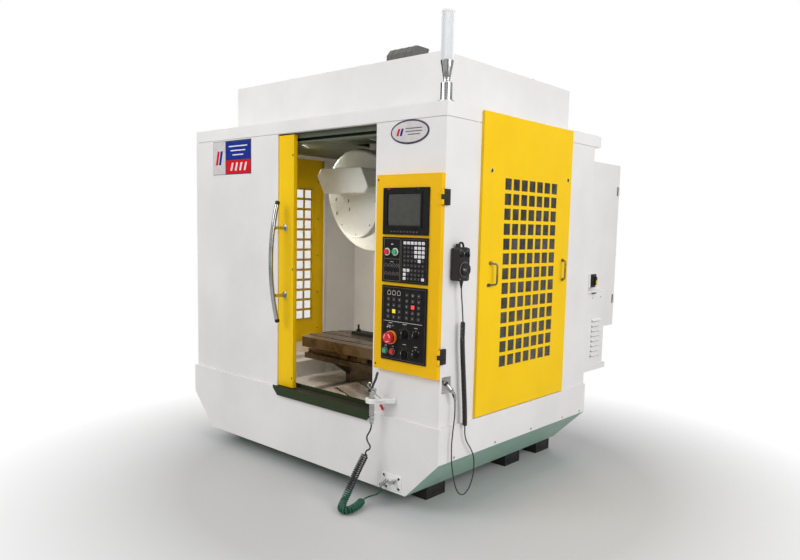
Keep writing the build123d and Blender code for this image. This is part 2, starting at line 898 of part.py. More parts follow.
# Fixed hinge halves on the cabin side, with their pins
with BuildPart() as panel_hinges:
    for z in hinge_rows:
        z0 = z - knuckle / 2
        block(cabin_half, cabin_half + 3, pin_y, -772, z0, z0 + knuckle)
        block(cabin_half, cabin_half + 3, -800, -772, z - hinge_height / 2, z + hinge_height / 2)
        rod((pin_x, pin_y, z0), (0, 0, 1), knuckle_r, knuckle)
        rod((pin_x, pin_y, z - hinge_height / 2), (0, 0, 1), pin_r, hinge_height)
panel_hinges.part.label = "panel_hinges"

# Controls: place, stem radius, head radius and how far the head stands off
button_travel = 5
button_back = unit_front - button_travel - 1
estop = (754, 875)
cycle_start = (716, 806)
feed_hold = (763, 806)
power_off = (717, 1294)
power_on = (770, 1295)
mode_dial = (838, 899)
feed_dial = (838, 801)
upper_selector = (910, 898)
lower_selector = (911, 807)
toggle_place = (744, 928)
button_stem = 9
estop_stem = 12
knob_stem = 5
stem_back = plate_front + 14

# The three black units set into the plate: display, keys and operator unit
with BuildPart() as console_units:
    for name, x0, x1, z0, z1 in units:
        block(x0, x1, unit_front, plate_front, z0, z1)
        block(
            x0 + body_inset,
            x1 - body_inset,
            plate_front,
            -772,
            z0 + body_inset,
            z1 - body_inset,
        )
    block(710, 922, unit_front - 1, unit_front + 3, 1419, 1575, Mode.SUBTRACT)
    for x, z in (cycle_start, feed_hold, power_off, power_on):
        rod((x, unit_front, z), (0, -1, 0), 17, 3)
        rod((x, unit_front - 3, z), (0, 1, 0), button_stem + run_fit, 40, Mode.SUBTRACT)
    rod((estop[0], unit_front, estop[1]), (0, -1, 0), 30, 8)
    rod((estop[0], unit_front - 8, estop[1]), (0, 1, 0), estop_stem + run_fit, 45, Mode.SUBTRACT)
    for x, z in (mode_dial, feed_dial, upper_selector, lower_selector):
        rod((x, unit_front - 1, z), (0, 1, 0), knob_stem + run_fit, 40, Mode.SUBTRACT)
    x, z = toggle_place
    rod((x - 6.1, unit_front, z), (1, 0, 0), 5 + run_fit, 12.2, Mode.SUBTRACT)
console_units.part.label = "console_units"


def push_button(place, stem, head, back, thickness):
    """Turns a push button: a stem that ends inside the unit and a round head before it."""
    x, z = place
    rod((x, stem_back, z), (0, -1, 0), stem, stem_back - back)
    rod((x, back, z), (0, -1, 0), head, thickness)


def turn_knob(place, radius, height):
    """Turns a rotary knob with a finger bar across it."""
    x, z = place
    base = unit_front - fit_gap
    rod((x, stem_back, z), (0, -1, 0), knob_stem, stem_back - base)
    rod((x, base, z), (0, -1, 0), radius, height * 0.5)
    block(x - radius * 0.28, x + radius * 0.28, base - height, base, z - radius, z + radius)


estop_travel = 7
with BuildPart() as estop_button:
    push_button(estop, estop_stem, 27.5, unit_front - 8 - estop_travel - 1, 20)
estop_button.part.label = "estop_button"

with BuildPart() as cycle_start_button:
    push_button(cycle_start, button_stem, 12, button_back - 2, 8)
cycle_start_button.part.label = "cycle_start_button"

with BuildPart() as feed_hold_button:
    push_button(feed_hold, button_stem, 12, button_back - 2, 8)
feed_hold_button.part.label = "feed_hold_button"

with BuildPart() as power_off_button:
    push_button(power_off, button_stem, 13, button_back - 3, 8)
power_off_button.part.label = "power_off_button"

with BuildPart() as power_on_button:
    push_button(power_on, button_stem, 13, button_back - 3, 8)
power_on_button.part.label = "power_on_button"

with BuildPart() as mode_knob:
    turn_knob(mode_dial, 18, 22)
mode_knob.part.label = "mode_knob"

with BuildPart() as feed_knob:
    turn_knob(feed_dial, 18, 22)
feed_knob.part.label = "feed_knob"

with BuildPart() as selector_upper:
    turn_knob(upper_selector, 12, 18)
selector_upper.part.label = "selector_upper"

with BuildPart() as selector_lower:
    turn_knob(lower_selector, 12, 18)
selector_lower.part.label = "selector_lower"

with BuildPart() as toggle_switch:
    x, z = toggle_place
    rod((x - 6, unit_front, z), (1, 0, 0), 5, 12)
    rod((x, unit_front, z), (0, -1, 0), 2.5, 20)
toggle_switch.part.label = "toggle_switch"

# Hand pendant parked on the right wall by its magnet foot and hook
pendant_face = cabin_half + 55
pendant_foot = cabin_half + 8
wheel_y = -715
wheel_z = 1224
pendant_knob_z = 1295
pendant_knobs = (-736, -694)
with BuildPart() as pendant_body:
    block(pendant_foot, pendant_face, -755, -675, 1170, 1325)
    fillet(pendant_body.edges().filter_by(Axis.X), 10)
    block(cabin_half, pendant_foot, -742, -688, 1185, 1310)
    block(pendant_foot + 2, pendant_foot + 14, -725, -705, 1320, 1343)
    rod((pendant_face, wheel_y, wheel_z), (1, 0, 0), 38, 2)
    rod((pendant_face + 3, wheel_y, wheel_z), (-1, 0, 0), 6 + run_fit, 30, Mode.SUBTRACT)
    for y in pendant_knobs:
        place = (pendant_face + 1, y, pendant_knob_z)
        rod(place, (-1, 0, 0), 4 + run_fit, 22, Mode.SUBTRACT)
    rod((cord_x, -708, 1160), (0.0, 0.0, 1.0), 9, 12)
    rod((cord_x, -708, 1159), (0, 0, 1), lead_r, 6, Mode.SUBTRACT)
pendant_body.part.label = "pendant_body"

with BuildPart() as pendant_wheel:
    rod((pendant_face - 20, wheel_y, wheel_z), (1, 0, 0), 6, 22 + fit_gap)
    rod((pendant_face + 2 + fit_gap, wheel_y, wheel_z), (1, 0, 0), 30, 13)
    rod((pendant_face + 15, wheel_y - 19, wheel_z), (1, 0, 0), 5, 14)
pendant_wheel.part.label = "pendant_wheel"


def pendant_knob(y):
    """Turns one of the two small pointer knobs at the top of the pendant."""
    base = pendant_face + fit_gap
    rod((pendant_face - 16, y, pendant_knob_z), (1, 0, 0), 4, 16 + fit_gap)
    rod((base, y, pendant_knob_z), (1, 0, 0), 12, 7)
    block(base, base + 13, y - 3.5, y + 3.5, pendant_knob_z - 12, pendant_knob_z + 12)


with BuildPart() as pendant_axis_knob:
    pendant_knob(pendant_knobs[0])
pendant_axis_knob.part.label = "pendant_axis_knob"

with BuildPart() as pendant_step_knob:
    pendant_knob(pendant_knobs[1])
pendant_step_knob.part.label = "pendant_step_knob"

# Pendant cord: upper lead, the curly length as one fat tube, and the loose loop to the plug
curl_top = (cord_x, -688, 886)
curl_low = (cord_x, -645, 456)
plug_end = (cord_x, -730, 604)
with BuildPart() as pendant_cord:
    tube(
        (
            (cord_x, -708, 1165),
            (cord_x, -706, 1120),
            (cord_x, -697, 1060),
            (cord_x, -689, 1000),
            (cord_x, -686, 945),
            curl_top,
        ),
        lead_r,
    )
    tube(
        (
            curl_top,
            (cord_x, -679, 801),
            (cord_x, -669, 715),
            (cord_x, -660, 630),
            (cord_x, -650, 543),
            curl_low,
        ),
        curl_r,
    )
    tube(
        (
            curl_low,
            (cord_x, -643, 408),
            (cord_x, -622, 366),
            (cord_x, -588, 330),
            (cord_x, -562, 284),
            (cord_x, -556, 231),
            (cord_x, -564, 179),
            (cord_x, -588, 133),
            (cord_x, -628, 104),
            (cord_x, -672, 116),
            (cord_x, -702, 155),
            (cord_x, -721, 206),
            (cord_x, -735, 260),
            (cord_x, -744, 316),
            (cord_x, -746, 374),
            (cord_x, -741, 432),
            (cord_x, -732, 489),
            (cord_x, -725, 546),
            plug_end,
        ),
        lead_r,
    )
pendant_cord.part.label = "pendant_cord"

with BuildPart() as pendant_plug:
    socket = (cabin_half - 53, -768, 684)
    rod(socket, (1, 0, 0), 17, 6)
    plug_points = (socket, (cabin_half + 2, -768, 684), (cabin_half + 27, -752, 650))
    tube(plug_points, 11)
    start = Vector(*plug_points[2])
    rod(start, Vector(8, 18, -34), 12, 8)
    tube((plug_points[2], (cord_x, -734, 628), plug_end), 7)
pendant_plug.part.label = "pendant_plug"

# Air gun hung in its bracket: nozzle, body, grip, collar and hose coupling
grip_low = 478
body_high = 600
lever_x = gun_x + 16.5
with BuildPart() as air_gun:
    rod((gun_x, gun_y, grip_low), (0, 0, 1), gun_r, body_high - grip_low)
    rod((gun_x, gun_y, bracket_z + 6), (0, 0, 1), gun_r + 5, 8)
    rod((gun_x, gun_y, 427), (0, 0, 1), 8, grip_low - 427)
    rod((gun_x, gun_y, 440), (0, 0, 1), 11, 20)
    nozzle = (
        (gun_x, gun_y, body_high - 20),
        (gun_x + 3, gun_y, 622),
        (gun_x + 22, gun_y, 656),
        (gun_x + 36, gun_y, 697),
    )
    tube(nozzle, 5)
    rod((gun_x, gun_y, body_high - 2), (0, 0, 1), 9, 14)
    block(gun_x + 6, gun_x + 21, gun_y - 8, gun_y - 4, 583, 597)
    block(gun_x + 6, gun_x + 21, gun_y + 4, gun_y + 8, 583, 597)
    rod((lever_x, gun_y - 9, 590), (0, 1, 0), 1.5, 18)
air_gun.part.label = "air_gun"

with BuildPart() as gun_lever:
    rod((lever_x, gun_y - 3.5, 590), (0, 1, 0), 3.5, 7)
    front_shape(
        gun_y - 3.5,
        7,
        (
            (gun_x + 16, 592),
            (gun_x + 60, 572),
            (gun_x + 60, 568),
            (gun_x + 16, 587),
        ),
    )
    rod((lever_x, gun_y - 4, 590), (0, 1, 0), 1.5 + run_fit, 8, Mode.SUBTRACT)
gun_lever.part.label = "gun_lever"

# Air hose: lead under the gun, fat coil down to and along the floor, tail to the inlet
coil_start = (656, -905, 277)
coil_end = (634, -905, 24)
with BuildPart() as hose_coil:
    tube(
        (
            coil_start,
            (640, -928, 222),
            (622, -954, 152),
            (607, -979, 82),
            (603, -1010, 30),
            (630, -1046, 24),
            (672, -1040, 24),
            (668, -995, 24),
            (655, -950, 24),
            coil_end,
        ),
        coil_r,
    )
hose_coil.part.label = "hose_coil"

with BuildPart() as air_hose:
    tube(
        (
            (gun_x, gun_y, 427),
            (gun_x - 3, gun_y, 400),
            (gun_x - 13, gun_y, 375),
            (gun_x - 26, gun_y - 2, 350),
            (gun_x - 22, gun_y - 6, 327),
            (gun_x - 8, gun_y - 11, 313),
            (661.3, -897.4, 295.2),
            coil_start,
        ),
        air_hose_r,
    )
    tube(
        (
            coil_end,
            (628, -892, 24),
            (634, -876, 34),
            (652, -864, 44),
            (674, -856, 54),
            (696, -850, 66),
            (712, -848, 84),
            (712, -848, 106),
        ),
        air_hose_r,
    )
air_hose.part.label = "air_hose"

with BuildPart() as air_inlet:
    block(697, 824, base_front - 4, base_front, 100, 176)
    rod((712, base_front, 118), (0, -1, 0), 9, 34)
    rod((712, -848, 106), (0, 0, 1), 7, 14)
    rod((740, base_front, 142), (0, -1, 0), 11, 20)
    rod((787, base_front, 148), (0, -1, 0), 11, 20)
    rod((787, base_front - 10, 148), (0, -1, 0), 4, 11, Mode.SUBTRACT)
    for x, z in ((715, 160), (806, 160), (806, 115)):
        rod((x, base_front - 4, z), (0, -1, 0), 5, 4)
air_inlet.part.label = "air_inlet"

# Electric cabinet on the back wall, its lower transformer box and the shelf
cabinet_left = 83
cabinet_right = cabin_half - 57
duct_right = cabinet_right + 27
foot_right = cabinet_right + 37
cabinet_back = 1092
cabinet_low = 790
cabinet_high = 1850
with BuildPart() as cabinet_shell:
    block(cabinet_left, cabinet_right, back_y, cabinet_back, cabinet_low, cabinet_high)
    block(
        cabinet_left + 2,
        cabinet_right - 2,
        back_y + 2,
        cabinet_back,
        cabinet_low + 2,
        cabinet_high - 2,
        Mode.SUBTRACT,
    )
    block(620, duct_right, back_y, 925, 558, cabinet_low)
    block(cabinet_right, duct_right, back_y, 925, cabinet_low, 1036)
    block(622, duct_right - 2, back_y + 2, 923, 560, cabinet_low - 2, Mode.SUBTRACT)
    block(
        cabinet_right + 2,
        duct_right - 2,
        back_y + 2,
        923,
        cabinet_low - 3,
        1034,
        Mode.SUBTRACT,
    )
    block(cabinet_right, duct_right + 23, back_y, 804, 1032, 1042)
    block(600, foot_right, back_y, 950, 525, 558)
    block(602, foot_right - 2, back_y + 2, 948, 527, 556, Mode.SUBTRACT)
    for row in range(8):
        z = 620 + row * 32
        block(duct_right - 10, duct_right + 2, 760, 860, z, z + 9, Mode.SUBTRACT)
    block(cabinet_right, cabinet_right + 24, 700, 812, 1062, 1146)
    switch_x = cabinet_right + 24
    rod((switch_x + 1, 756, 1104), (-1, 0, 0), 8 + run_fit, 22, Mode.SUBTRACT)
    # Fixed hinge leaves with their outer knuckles and pins
    door_pin_x = cabinet_right + 6
    door_pin_y = cabinet_back + 4
    knuckle = 20
    door_pin_r = 2.5
    for z in (938, 1652):
        block(cabinet_right, cabinet_right + 2.5, cabinet_back - 24, cabinet_back, z, z + 3 * knuckle)
        for low in (z, z + 2 * knuckle):
            rod((door_pin_x, door_pin_y, low), (0, 0, 1), 5, knuckle)
            block(cabinet_right + 1, door_pin_x, cabinet_back - 3, door_pin_y, low, low + knuckle)
        rod((door_pin_x, door_pin_y, z), (0, 0, 1), door_pin_r, 3 * knuckle)
cabinet_shell.part.label = "cabinet_shell"

# Cabinet door at the very back, hinged along its right edge on two pins
with BuildPart() as cabinet_door:
    y0 = cabinet_back + fit_gap
    block(cabinet_left, cabinet_right, y0, y0 + 20, cabinet_low, cabinet_high)
    block(cabinet_left + 2, cabinet_right - 2, y0, y0 + 18, cabinet_low + 2, cabinet_high - 2, Mode.SUBTRACT)
    block(cabinet_left + 20, cabinet_left + 45, y0 + 18, y0 + 32, 1280, 1360)
    for z in (938 + knuckle, 1652 + knuckle):
        low = z + fit_gap
        high = z + knuckle - fit_gap
        rod((door_pin_x, door_pin_y, low), (0, 0, 1), 5, high - low)
        block(cabinet_right + 1, door_pin_x, door_pin_y, door_pin_y + 6, low, high)
        block(cabinet_right, cabinet_right + 2.5, door_pin_y + 2, y0 + 20, low, high)
        rod((door_pin_x, door_pin_y, low - 1), (0, 0, 1), door_pin_r + run_fit, knuckle + 2, Mode.SUBTRACT)
cabinet_door.part.label = "cabinet_door"

with BuildPart() as main_switch:
    rod((switch_x - 18, 756, 1104), (1, 0, 0), 8, 18 + fit_gap)
    rod((switch_x + fit_gap, 756, 1104), (1, 0, 0), 28, 8)
    block(switch_x + fit_gap, switch_x + 24, 748, 764, 1078, 1130)
main_switch.part.label = "main_switch"

# Signal light on the roof corner: flange, base, cone and the long clear cylinder
light_x = cabin_half - 50
light_y = -755
with BuildPart() as tower_light:
    rod((light_x, light_y, rim_top), (0, 0, 1), 41, 6)
    rod((light_x, light_y, rim_top), (0, 0, 1), 28, 2085 - rim_top)
    rod((light_x, light_y, 2085), (0, 0, 1), 15.5, 12)
    with Locations((light_x, light_y, 2135)):
        Cone(15.5, 31, 80)
    rod((light_x, light_y, 2175), (0, 0, 1), 31, 220)
    with Locations((light_x, light_y, 2402.5)):
        Cone(31, 22, 15)
tower_light.part.label = "tower_light"

pieces = (
    base_skirt,
    sump_pan,
    levelling_feet,
    machine_bed,
    saddle,
    saddle_cover,
    cover_outer,
    cover_middle,
    cover_inner,
    table,
    fixture_plate,
    column,
    head_casting,
    spindle,
    turret_arm,
    turret_cover,
    turret_drum,
    chip_guards,
    ceiling_guard,
    cabin_shell,
    vent_panels,
    vent_panes,
    pull_handles,
    roof_rim,
    top_hood,
    left_front_panel,
    right_front_panel,
    sliding_door,
    door_window,
    door_handle,
    sill_tray,
    control_plate,
    panel_hinges,
    console_units,
    estop_button,
    cycle_start_button,
    feed_hold_button,
    power_off_button,
    power_on_button,
    mode_knob,
    feed_knob,
    selector_upper,
    selector_lower,
    toggle_switch,
    pendant_body,
    pendant_wheel,
    pendant_axis_knob,
    pendant_step_knob,
    pendant_cord,
    pendant_plug,
    air_gun,
    gun_lever,
    hose_coil,
    air_hose,
    air_inlet,
    cabinet_shell,
    cabinet_door,
    main_switch,
    tower_light,
)
for piece in pieces:
    export_step(piece.part, "parts/" + piece.part.label + ".step")
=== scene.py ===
"""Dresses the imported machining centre: materials, small parts, cords, camera and light."""

from __future__ import annotations

import logging
import math
from dataclasses import dataclass
from enum import Enum

import bmesh
import bpy
from mathutils import Matrix, Vector


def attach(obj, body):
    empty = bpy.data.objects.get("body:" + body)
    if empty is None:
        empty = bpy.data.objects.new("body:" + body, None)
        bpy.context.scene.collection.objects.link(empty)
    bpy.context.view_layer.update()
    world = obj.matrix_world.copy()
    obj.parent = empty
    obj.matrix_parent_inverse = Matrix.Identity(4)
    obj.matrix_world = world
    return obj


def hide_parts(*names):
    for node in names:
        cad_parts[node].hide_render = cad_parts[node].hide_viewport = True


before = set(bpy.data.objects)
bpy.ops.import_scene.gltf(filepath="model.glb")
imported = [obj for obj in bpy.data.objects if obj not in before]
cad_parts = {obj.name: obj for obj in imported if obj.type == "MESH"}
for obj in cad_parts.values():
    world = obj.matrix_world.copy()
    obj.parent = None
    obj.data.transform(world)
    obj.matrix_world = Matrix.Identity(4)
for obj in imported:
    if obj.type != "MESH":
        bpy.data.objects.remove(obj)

LOG = logging.getLogger("scene")
MM = 0.001
Point = tuple[float, float, float]
Colour = tuple[float, float, float]
Pair = tuple[float, float]
Socket = bpy.types.NodeSocket
TO_RIGHT: Point = (1, 0, 0)
TO_BACK: Point = (0, 1, 0)
TO_FRONT: Point = (0, -1, 0)
UPWARD: Point = (0, 0, 1)
INK = 0.25
DRAW_FACTOR, DRAW_STEP, DRAW_LIMIT = 1103515245, 12345, 2147483648
FRAME_WIDTH = 800
FILM_WIDTH = 36


def linear(red: int, green: int, blue: int) -> Colour:
    """Turns a display colour into the linear one that shaders take.

    Args:
        red: Red from 0 to 255.
        green: Green from 0 to 255.
        blue: Blue from 0 to 255.

    Returns:
        The linear colour.
    """

    def channel(value: int) -> float:
        """Undoes the display curve of one channel.

        Args:
            value: The channel from 0 to 255.

        Returns:
            The linear value.
        """
        share = value / 255
        return share / 12.92 if share <= 0.04045 else ((share + 0.055) / 1.055) ** 2.4

    return channel(red), channel(green), channel(blue)


def circle(count: int) -> list[Pair]:
    """Steps evenly round a circle.

    Args:
        count: How many steps it has.

    Returns:
        The cosine and sine of each step.
    """
    angles = [math.tau * i / count for i in range(count)]
    return [(math.cos(a), math.sin(a)) for a in angles]


def placed(name: str, data: bpy.types.ID) -> bpy.types.Object:
    """Puts an object of this data into the scene.

    Args:
        name: The object's name.
        data: Its mesh, curve, light or camera.

    Returns:
        The object.
    """
    item = bpy.data.objects.new(name, data)
    bpy.context.scene.collection.objects.link(item)
    return item


def area_light(
    name: str, place: Point, aim: Point, size: float, power: float, tint: Colour = (1, 1, 1)
) -> None:
    """Adds a soft square light.

    Args:
        name: The light's name.
        place: Its place in metres.
        aim: The point it faces.
        size: Its side in metres.
        power: Its power in watts.
        tint: Its colour.
    """
    data = bpy.data.lights.new(name, "AREA")
    data.size = size
    data.energy = power
    data.color = tint
    light = placed(name, data)
    light.location = place
    light.rotation_euler = (Vector(aim) - Vector(place)).to_track_quat("-Z", "Y").to_euler()


class Nodes:
    """A node tree with short calls for what it needs."""

    def __init__(self, tree: bpy.types.NodeTree) -> None:
        """Takes a tree.

        Args:
            tree: The tree.
        """
        self.tree = tree

    def join(self, source: Socket, target: Socket) -> None:
        """Links two sockets.

        Args:
            source: The output.
            target: The input.
        """
        self.tree.links.new(source, target)

    def add(
        self, kind: str, values: dict[str, float | Point] | None = None,
        links: dict[str | int, Socket] | None = None,
    ) -> bpy.types.Node:
        """Adds a node.

        Args:
            kind: Its kind, without the words that all kinds start with.
            values: The plain values of its inputs.
            links: What its other inputs are joined to.

        Returns:
            The node.
        """
        node = self.tree.nodes.new("ShaderNode" + kind)
        for name, value in (values or {}).items():
            node.inputs[name].default_value = value
        for name, source in (links or {}).items():
            self.join(source, node.inputs[name])
        return node

    def ramp(self, value: Socket, low: float, high: float, first: float, last: float) -> Socket:
        """Maps a range of a value to another range, clamped.

        Args:
            value: The value.
            low: Where the input range starts.
            high: Where the input range ends.
            first: The output at the start.
            last: The output at the end.

        Returns:
            The mapped value.
        """
        limits = {"From Min": low, "From Max": high, "To Min": first, "To Max": last}
        return self.add("MapRange", limits, {"Value": value}).outputs["Result"]

    def combine(self, operation: str, first: Socket, second: Socket) -> Socket:
        """Combines two values.

        Args:
            operation: The kind of sum, such as MULTIPLY.
            first: The first value.
            second: The second value.

        Returns:
            The result.
        """
        node = self.add("Math", links={0: first, 1: second})
        node.operation = operation
        return node.outputs[0]

    def part(self, vector: Socket, axis: str) -> Socket:
        """Takes one coordinate of a vector.

        Args:
            vector: The vector.
            axis: X, Y or Z.

        Returns:
            The coordinate.
        """
        return self.add("SeparateXYZ", links={0: vector}).outputs[axis]


class Graph(Nodes):
    """A material's node tree round a principled shader."""

    def __init__(self, name: str) -> None:
        """Starts a material with an empty principled shader.

        Args:
            name: The material's name.
        """
        self.material = bpy.data.materials.new(name)
        self.material.use_nodes = True
        super().__init__(self.material.node_tree)
        self.shader = self.tree.nodes["Principled BSDF"]
        self.place = self.add("TexCoord").outputs["Object"]

    def stretch(self, scale: Point) -> Socket:
        """Scales the object coordinates, for streaks along an axis.

        Args:
            scale: The scale along X, Y and Z.

        Returns:
            The scaled coordinates.
        """
        return self.add("Mapping", {"Scale": scale}, {"Vector": self.place}).outputs["Vector"]

    def noise(
        self, scale: float, detail: float = 3.0, roughness: float = 0.55,
        vector: Socket | None = None,
    ) -> Socket:
        """Adds a noise texture.

        Args:
            scale: Features per metre, roughly.
            detail: Octaves.
            roughness: How strong the finer octaves are.
            vector: Coordinates, or none for the object's own.

        Returns:
            The noise value.
        """
        values = {"Scale": scale, "Detail": detail, "Roughness": roughness}
        return self.add("TexNoise", values, {"Vector": vector or self.place}).outputs["Fac"]

    def blend(self, share: Socket, first: Colour | Socket, second: Colour | Socket) -> Socket:
        """Mixes two colours.

        Args:
            share: How much of the second colour.
            first: The first colour or socket.
            second: The second colour or socket.

        Returns:
            The mixed colour.
        """
        node = self.add("Mix", links={0: share})
        node.data_type = "RGBA"
        for socket, colour in ((node.inputs[6], first), (node.inputs[7], second)):
            if isinstance(colour, tuple):
                socket.default_value = (*colour, 1.0)
            else:
                self.join(colour, socket)
        return node.outputs[2]

    def facing_up(self, most: float) -> Socket:
        """Finds the faces that look up, where oil and dust settle.

        Args:
            most: The mask's value on a level face.

        Returns:
            The mask, uneven as settled dirt is.
        """
        normal = self.add("NewGeometry").outputs["Normal"]
        level = self.ramp(self.part(normal, "Z"), 0.5, 0.9, 0, most)
        patches = self.ramp(self.noise(9, 5, 0.6), 0.3, 0.55, 0.75, 1.0)
        return self.combine("MULTIPLY", level, patches)

    def bump(self, height: Socket, strength: float, depth: float) -> None:
        """Adds relief to the shader's normal, on top of what is there.

        Args:
            height: The relief's height.
            strength: Its strength from 0 to 1.
            depth: Its depth in metres.
        """
        node = self.add("Bump", {"Strength": strength, "Distance": depth}, {"Height": height})
        normal = self.shader.inputs["Normal"]
        if normal.is_linked:
            self.join(normal.links[0].from_socket, node.inputs["Normal"])
        self.join(node.outputs["Normal"], normal)

    def dress(self, values: dict[str, float], links: dict[str, Socket]) -> None:
        """Sets the shader's inputs.

        Args:
            values: Its plain values.
            links: What its other inputs are joined to.
        """
        for name, value in values.items():
            self.shader.inputs[name].default_value = value
        for name, source in links.items():
            self.join(source, self.shader.inputs[name])


@dataclass(frozen=True)
class Paint:
    """Powder coat or enamel: faint orange peel, slow mottling and settled dirt.

    Attributes:
        name: The material's name.
        colour: The linear colour.
        roughness: The mean roughness.
        peel: The strength of the orange peel.
        dirt: How much handling dirt shows, from 0 to 1.
        dirt_colour: The dirt's linear colour.
        shine: The level of the clear reflection.
        settled: How much dirt lies on faces that look up, from 0 to 1.
    """

    name: str
    colour: Colour
    roughness: float = 0.45
    peel: float = 0.10
    dirt: float = 0.10
    dirt_colour: Colour = (0.23, 0.21, 0.19)
    shine: float = 0.4
    settled: float = 0.0

    def build(self) -> bpy.types.Material:
        """Builds the material.

        Returns:
            The material.
        """
        graph = Graph(self.name)
        light = tuple(min(1.0, c * 1.03) for c in self.colour)
        deep = tuple(c * 0.955 for c in self.colour)
        body = graph.blend(graph.ramp(graph.noise(2.3, 3), 0.35, 0.65, 0, 1), light, deep)
        smear = graph.noise(7.0, 6, 0.62, graph.stretch((1.0, 1.0, 0.28)))
        soiled = graph.blend(graph.ramp(smear, 0.56, 0.86, 0, self.dirt), body, self.dirt_colour)
        speck = graph.ramp(graph.noise(240, 2), 0.72, 0.78, 0, self.dirt * 1.4)
        coat = graph.blend(speck, soiled, self.dirt_colour)
        if self.settled > 0:
            coat = graph.blend(graph.facing_up(self.settled), coat, self.dirt_colour)
        haze = graph.ramp(
            graph.noise(11, 5), 0.3, 0.7, self.roughness - 0.06, self.roughness + 0.08
        )
        graph.dress({"Specular IOR Level": self.shine}, {"Base Color": coat, "Roughness": haze})
        graph.bump(graph.noise(520, 2), self.peel, 0.0006)
        graph.bump(graph.noise(3.2, 2), 0.05, 0.004)
        return graph.material


@dataclass(frozen=True)
class Metal:
    """Bare or plated metal with brushing, stains and a film of oil.

    Attributes:
        name: The material's name.
        colour: The clean metal's linear colour.
        stain: The stain's linear colour.
        staining: How much is stained, from 0 to 1.
        roughness: The mean roughness.
        grain: The brushing's scale along X, Y and Z.
        relief: The strength of the grain's relief.
        metallic: How metallic the surface is.
    """

    name: str
    colour: Colour
    stain: Colour = (0.10, 0.07, 0.04)
    staining: float = 0.0
    roughness: float = 0.3
    grain: Point = (1.0, 14.0, 14.0)
    relief: float = 0.12
    metallic: float = 1.0

    def build(self) -> bpy.types.Material:
        """Builds the material.

        Returns:
            The material.
        """
        graph = Graph(self.name)
        brushed = graph.noise(42, 4, 0.6, graph.stretch(self.grain))
        dark = tuple(c * 0.82 for c in self.colour)
        clean = graph.blend(graph.ramp(brushed, 0.3, 0.7, 0, 1), self.colour, dark)
        pools = graph.noise(6.5, 7, 0.66)
        low = 0.62 - 0.3 * self.staining
        mask = graph.ramp(pools, low, low + 0.16, 0, min(1.0, 0.2 + self.staining))
        if self.staining > 0:
            clean = graph.blend(mask, clean, self.stain)
        wet = graph.ramp(pools, 0.35, 0.7, self.roughness + 0.06, max(0.05, self.roughness - 0.07))
        graph.dress({"Metallic": self.metallic}, {"Base Color": clean, "Roughness": wet})
        graph.bump(brushed, self.relief, 0.0004)
        return graph.material


@dataclass(frozen=True)
class Moulding:
    """Plastic or rubber with a fine moulded grain and finger marks.

    Attributes:
        name: The material's name.
        colour: The linear colour.
        roughness: The mean roughness.
        grain: The grain's scale per metre.
        relief: The strength of the grain's relief.
        glow: Strength of the light it gives off, for a lit lens.
        shine: The level of the clear reflection.
    """

    name: str
    colour: Colour
    roughness: float = 0.4
    grain: float = 1400.0
    relief: float = 0.10
    glow: float = 0.0
    shine: float = 0.4

    def build(self) -> bpy.types.Material:
        """Builds the material.

        Returns:
            The material.
        """
        graph = Graph(self.name)
        pale = tuple(min(1.0, c * 1.12 + 0.004) for c in self.colour)
        tone = graph.ramp(graph.noise(35, 4), 0.35, 0.65, 0, 1)
        body = graph.blend(tone, self.colour, pale)
        marks = graph.ramp(
            graph.noise(60, 4), 0.3, 0.7, self.roughness - 0.05, self.roughness + 0.09
        )
        graph.dress({"Specular IOR Level": self.shine}, {"Base Color": body, "Roughness": marks})
        graph.bump(graph.noise(self.grain, 2), self.relief, 0.0002)
        if self.glow > 0:
            lit = {"Emission Color": (*self.colour, 1.0), "Emission Strength": self.glow}
            graph.dress(lit, {})
        return graph.material


@dataclass(frozen=True)
class Clear:
    """Clear acrylic, polycarbonate or glass, lightly dusted and scratched.

    Attributes:
        name: The material's name.
        colour: The tint.
        opacity: How much the surface covers what is behind it.
        roughness: The mean roughness.
        shine: The level of the clear reflection.
        shade_cover: The extra opacity of the panes on the +X side, which is painted shade.
    """

    name: str
    colour: Colour
    opacity: float = 0.25
    roughness: float = 0.08
    shine: float = 0.5
    shade_cover: float = 0.0

    def build(self) -> bpy.types.Material:
        """Builds the material.

        Returns:
            The material.
        """
        graph = Graph(self.name)
        dust = graph.noise(16, 6, 0.65)
        film = tuple(0.45 + 0.4 * c for c in self.colour)
        tint = graph.blend(graph.ramp(dust, 0.45, 0.8, 0, 0.3), self.colour, film)
        haze = graph.ramp(dust, 0.3, 0.75, self.roughness, self.roughness + 0.14)
        cover = graph.ramp(dust, 0.4, 0.85, self.opacity, min(1.0, self.opacity + 0.12))
        # Painted shade: the panes on the +X side are darker and more opaque than the others.
        if self.shade_cover > 0:
            painted_shade = graph.ramp(graph.part(graph.place, "X"), -0.5, 0.5, 0.0, self.shade_cover)
            cover = graph.combine("MAXIMUM", cover, painted_shade)
        links = {"Base Color": tint, "Roughness": haze, "Alpha": cover}
        graph.dress({"Specular IOR Level": self.shine}, links)
        graph.bump(graph.noise(900, 2, 0.5, graph.stretch((1, 1, 0.1))), 0.08, 0.0002)
        return graph.material


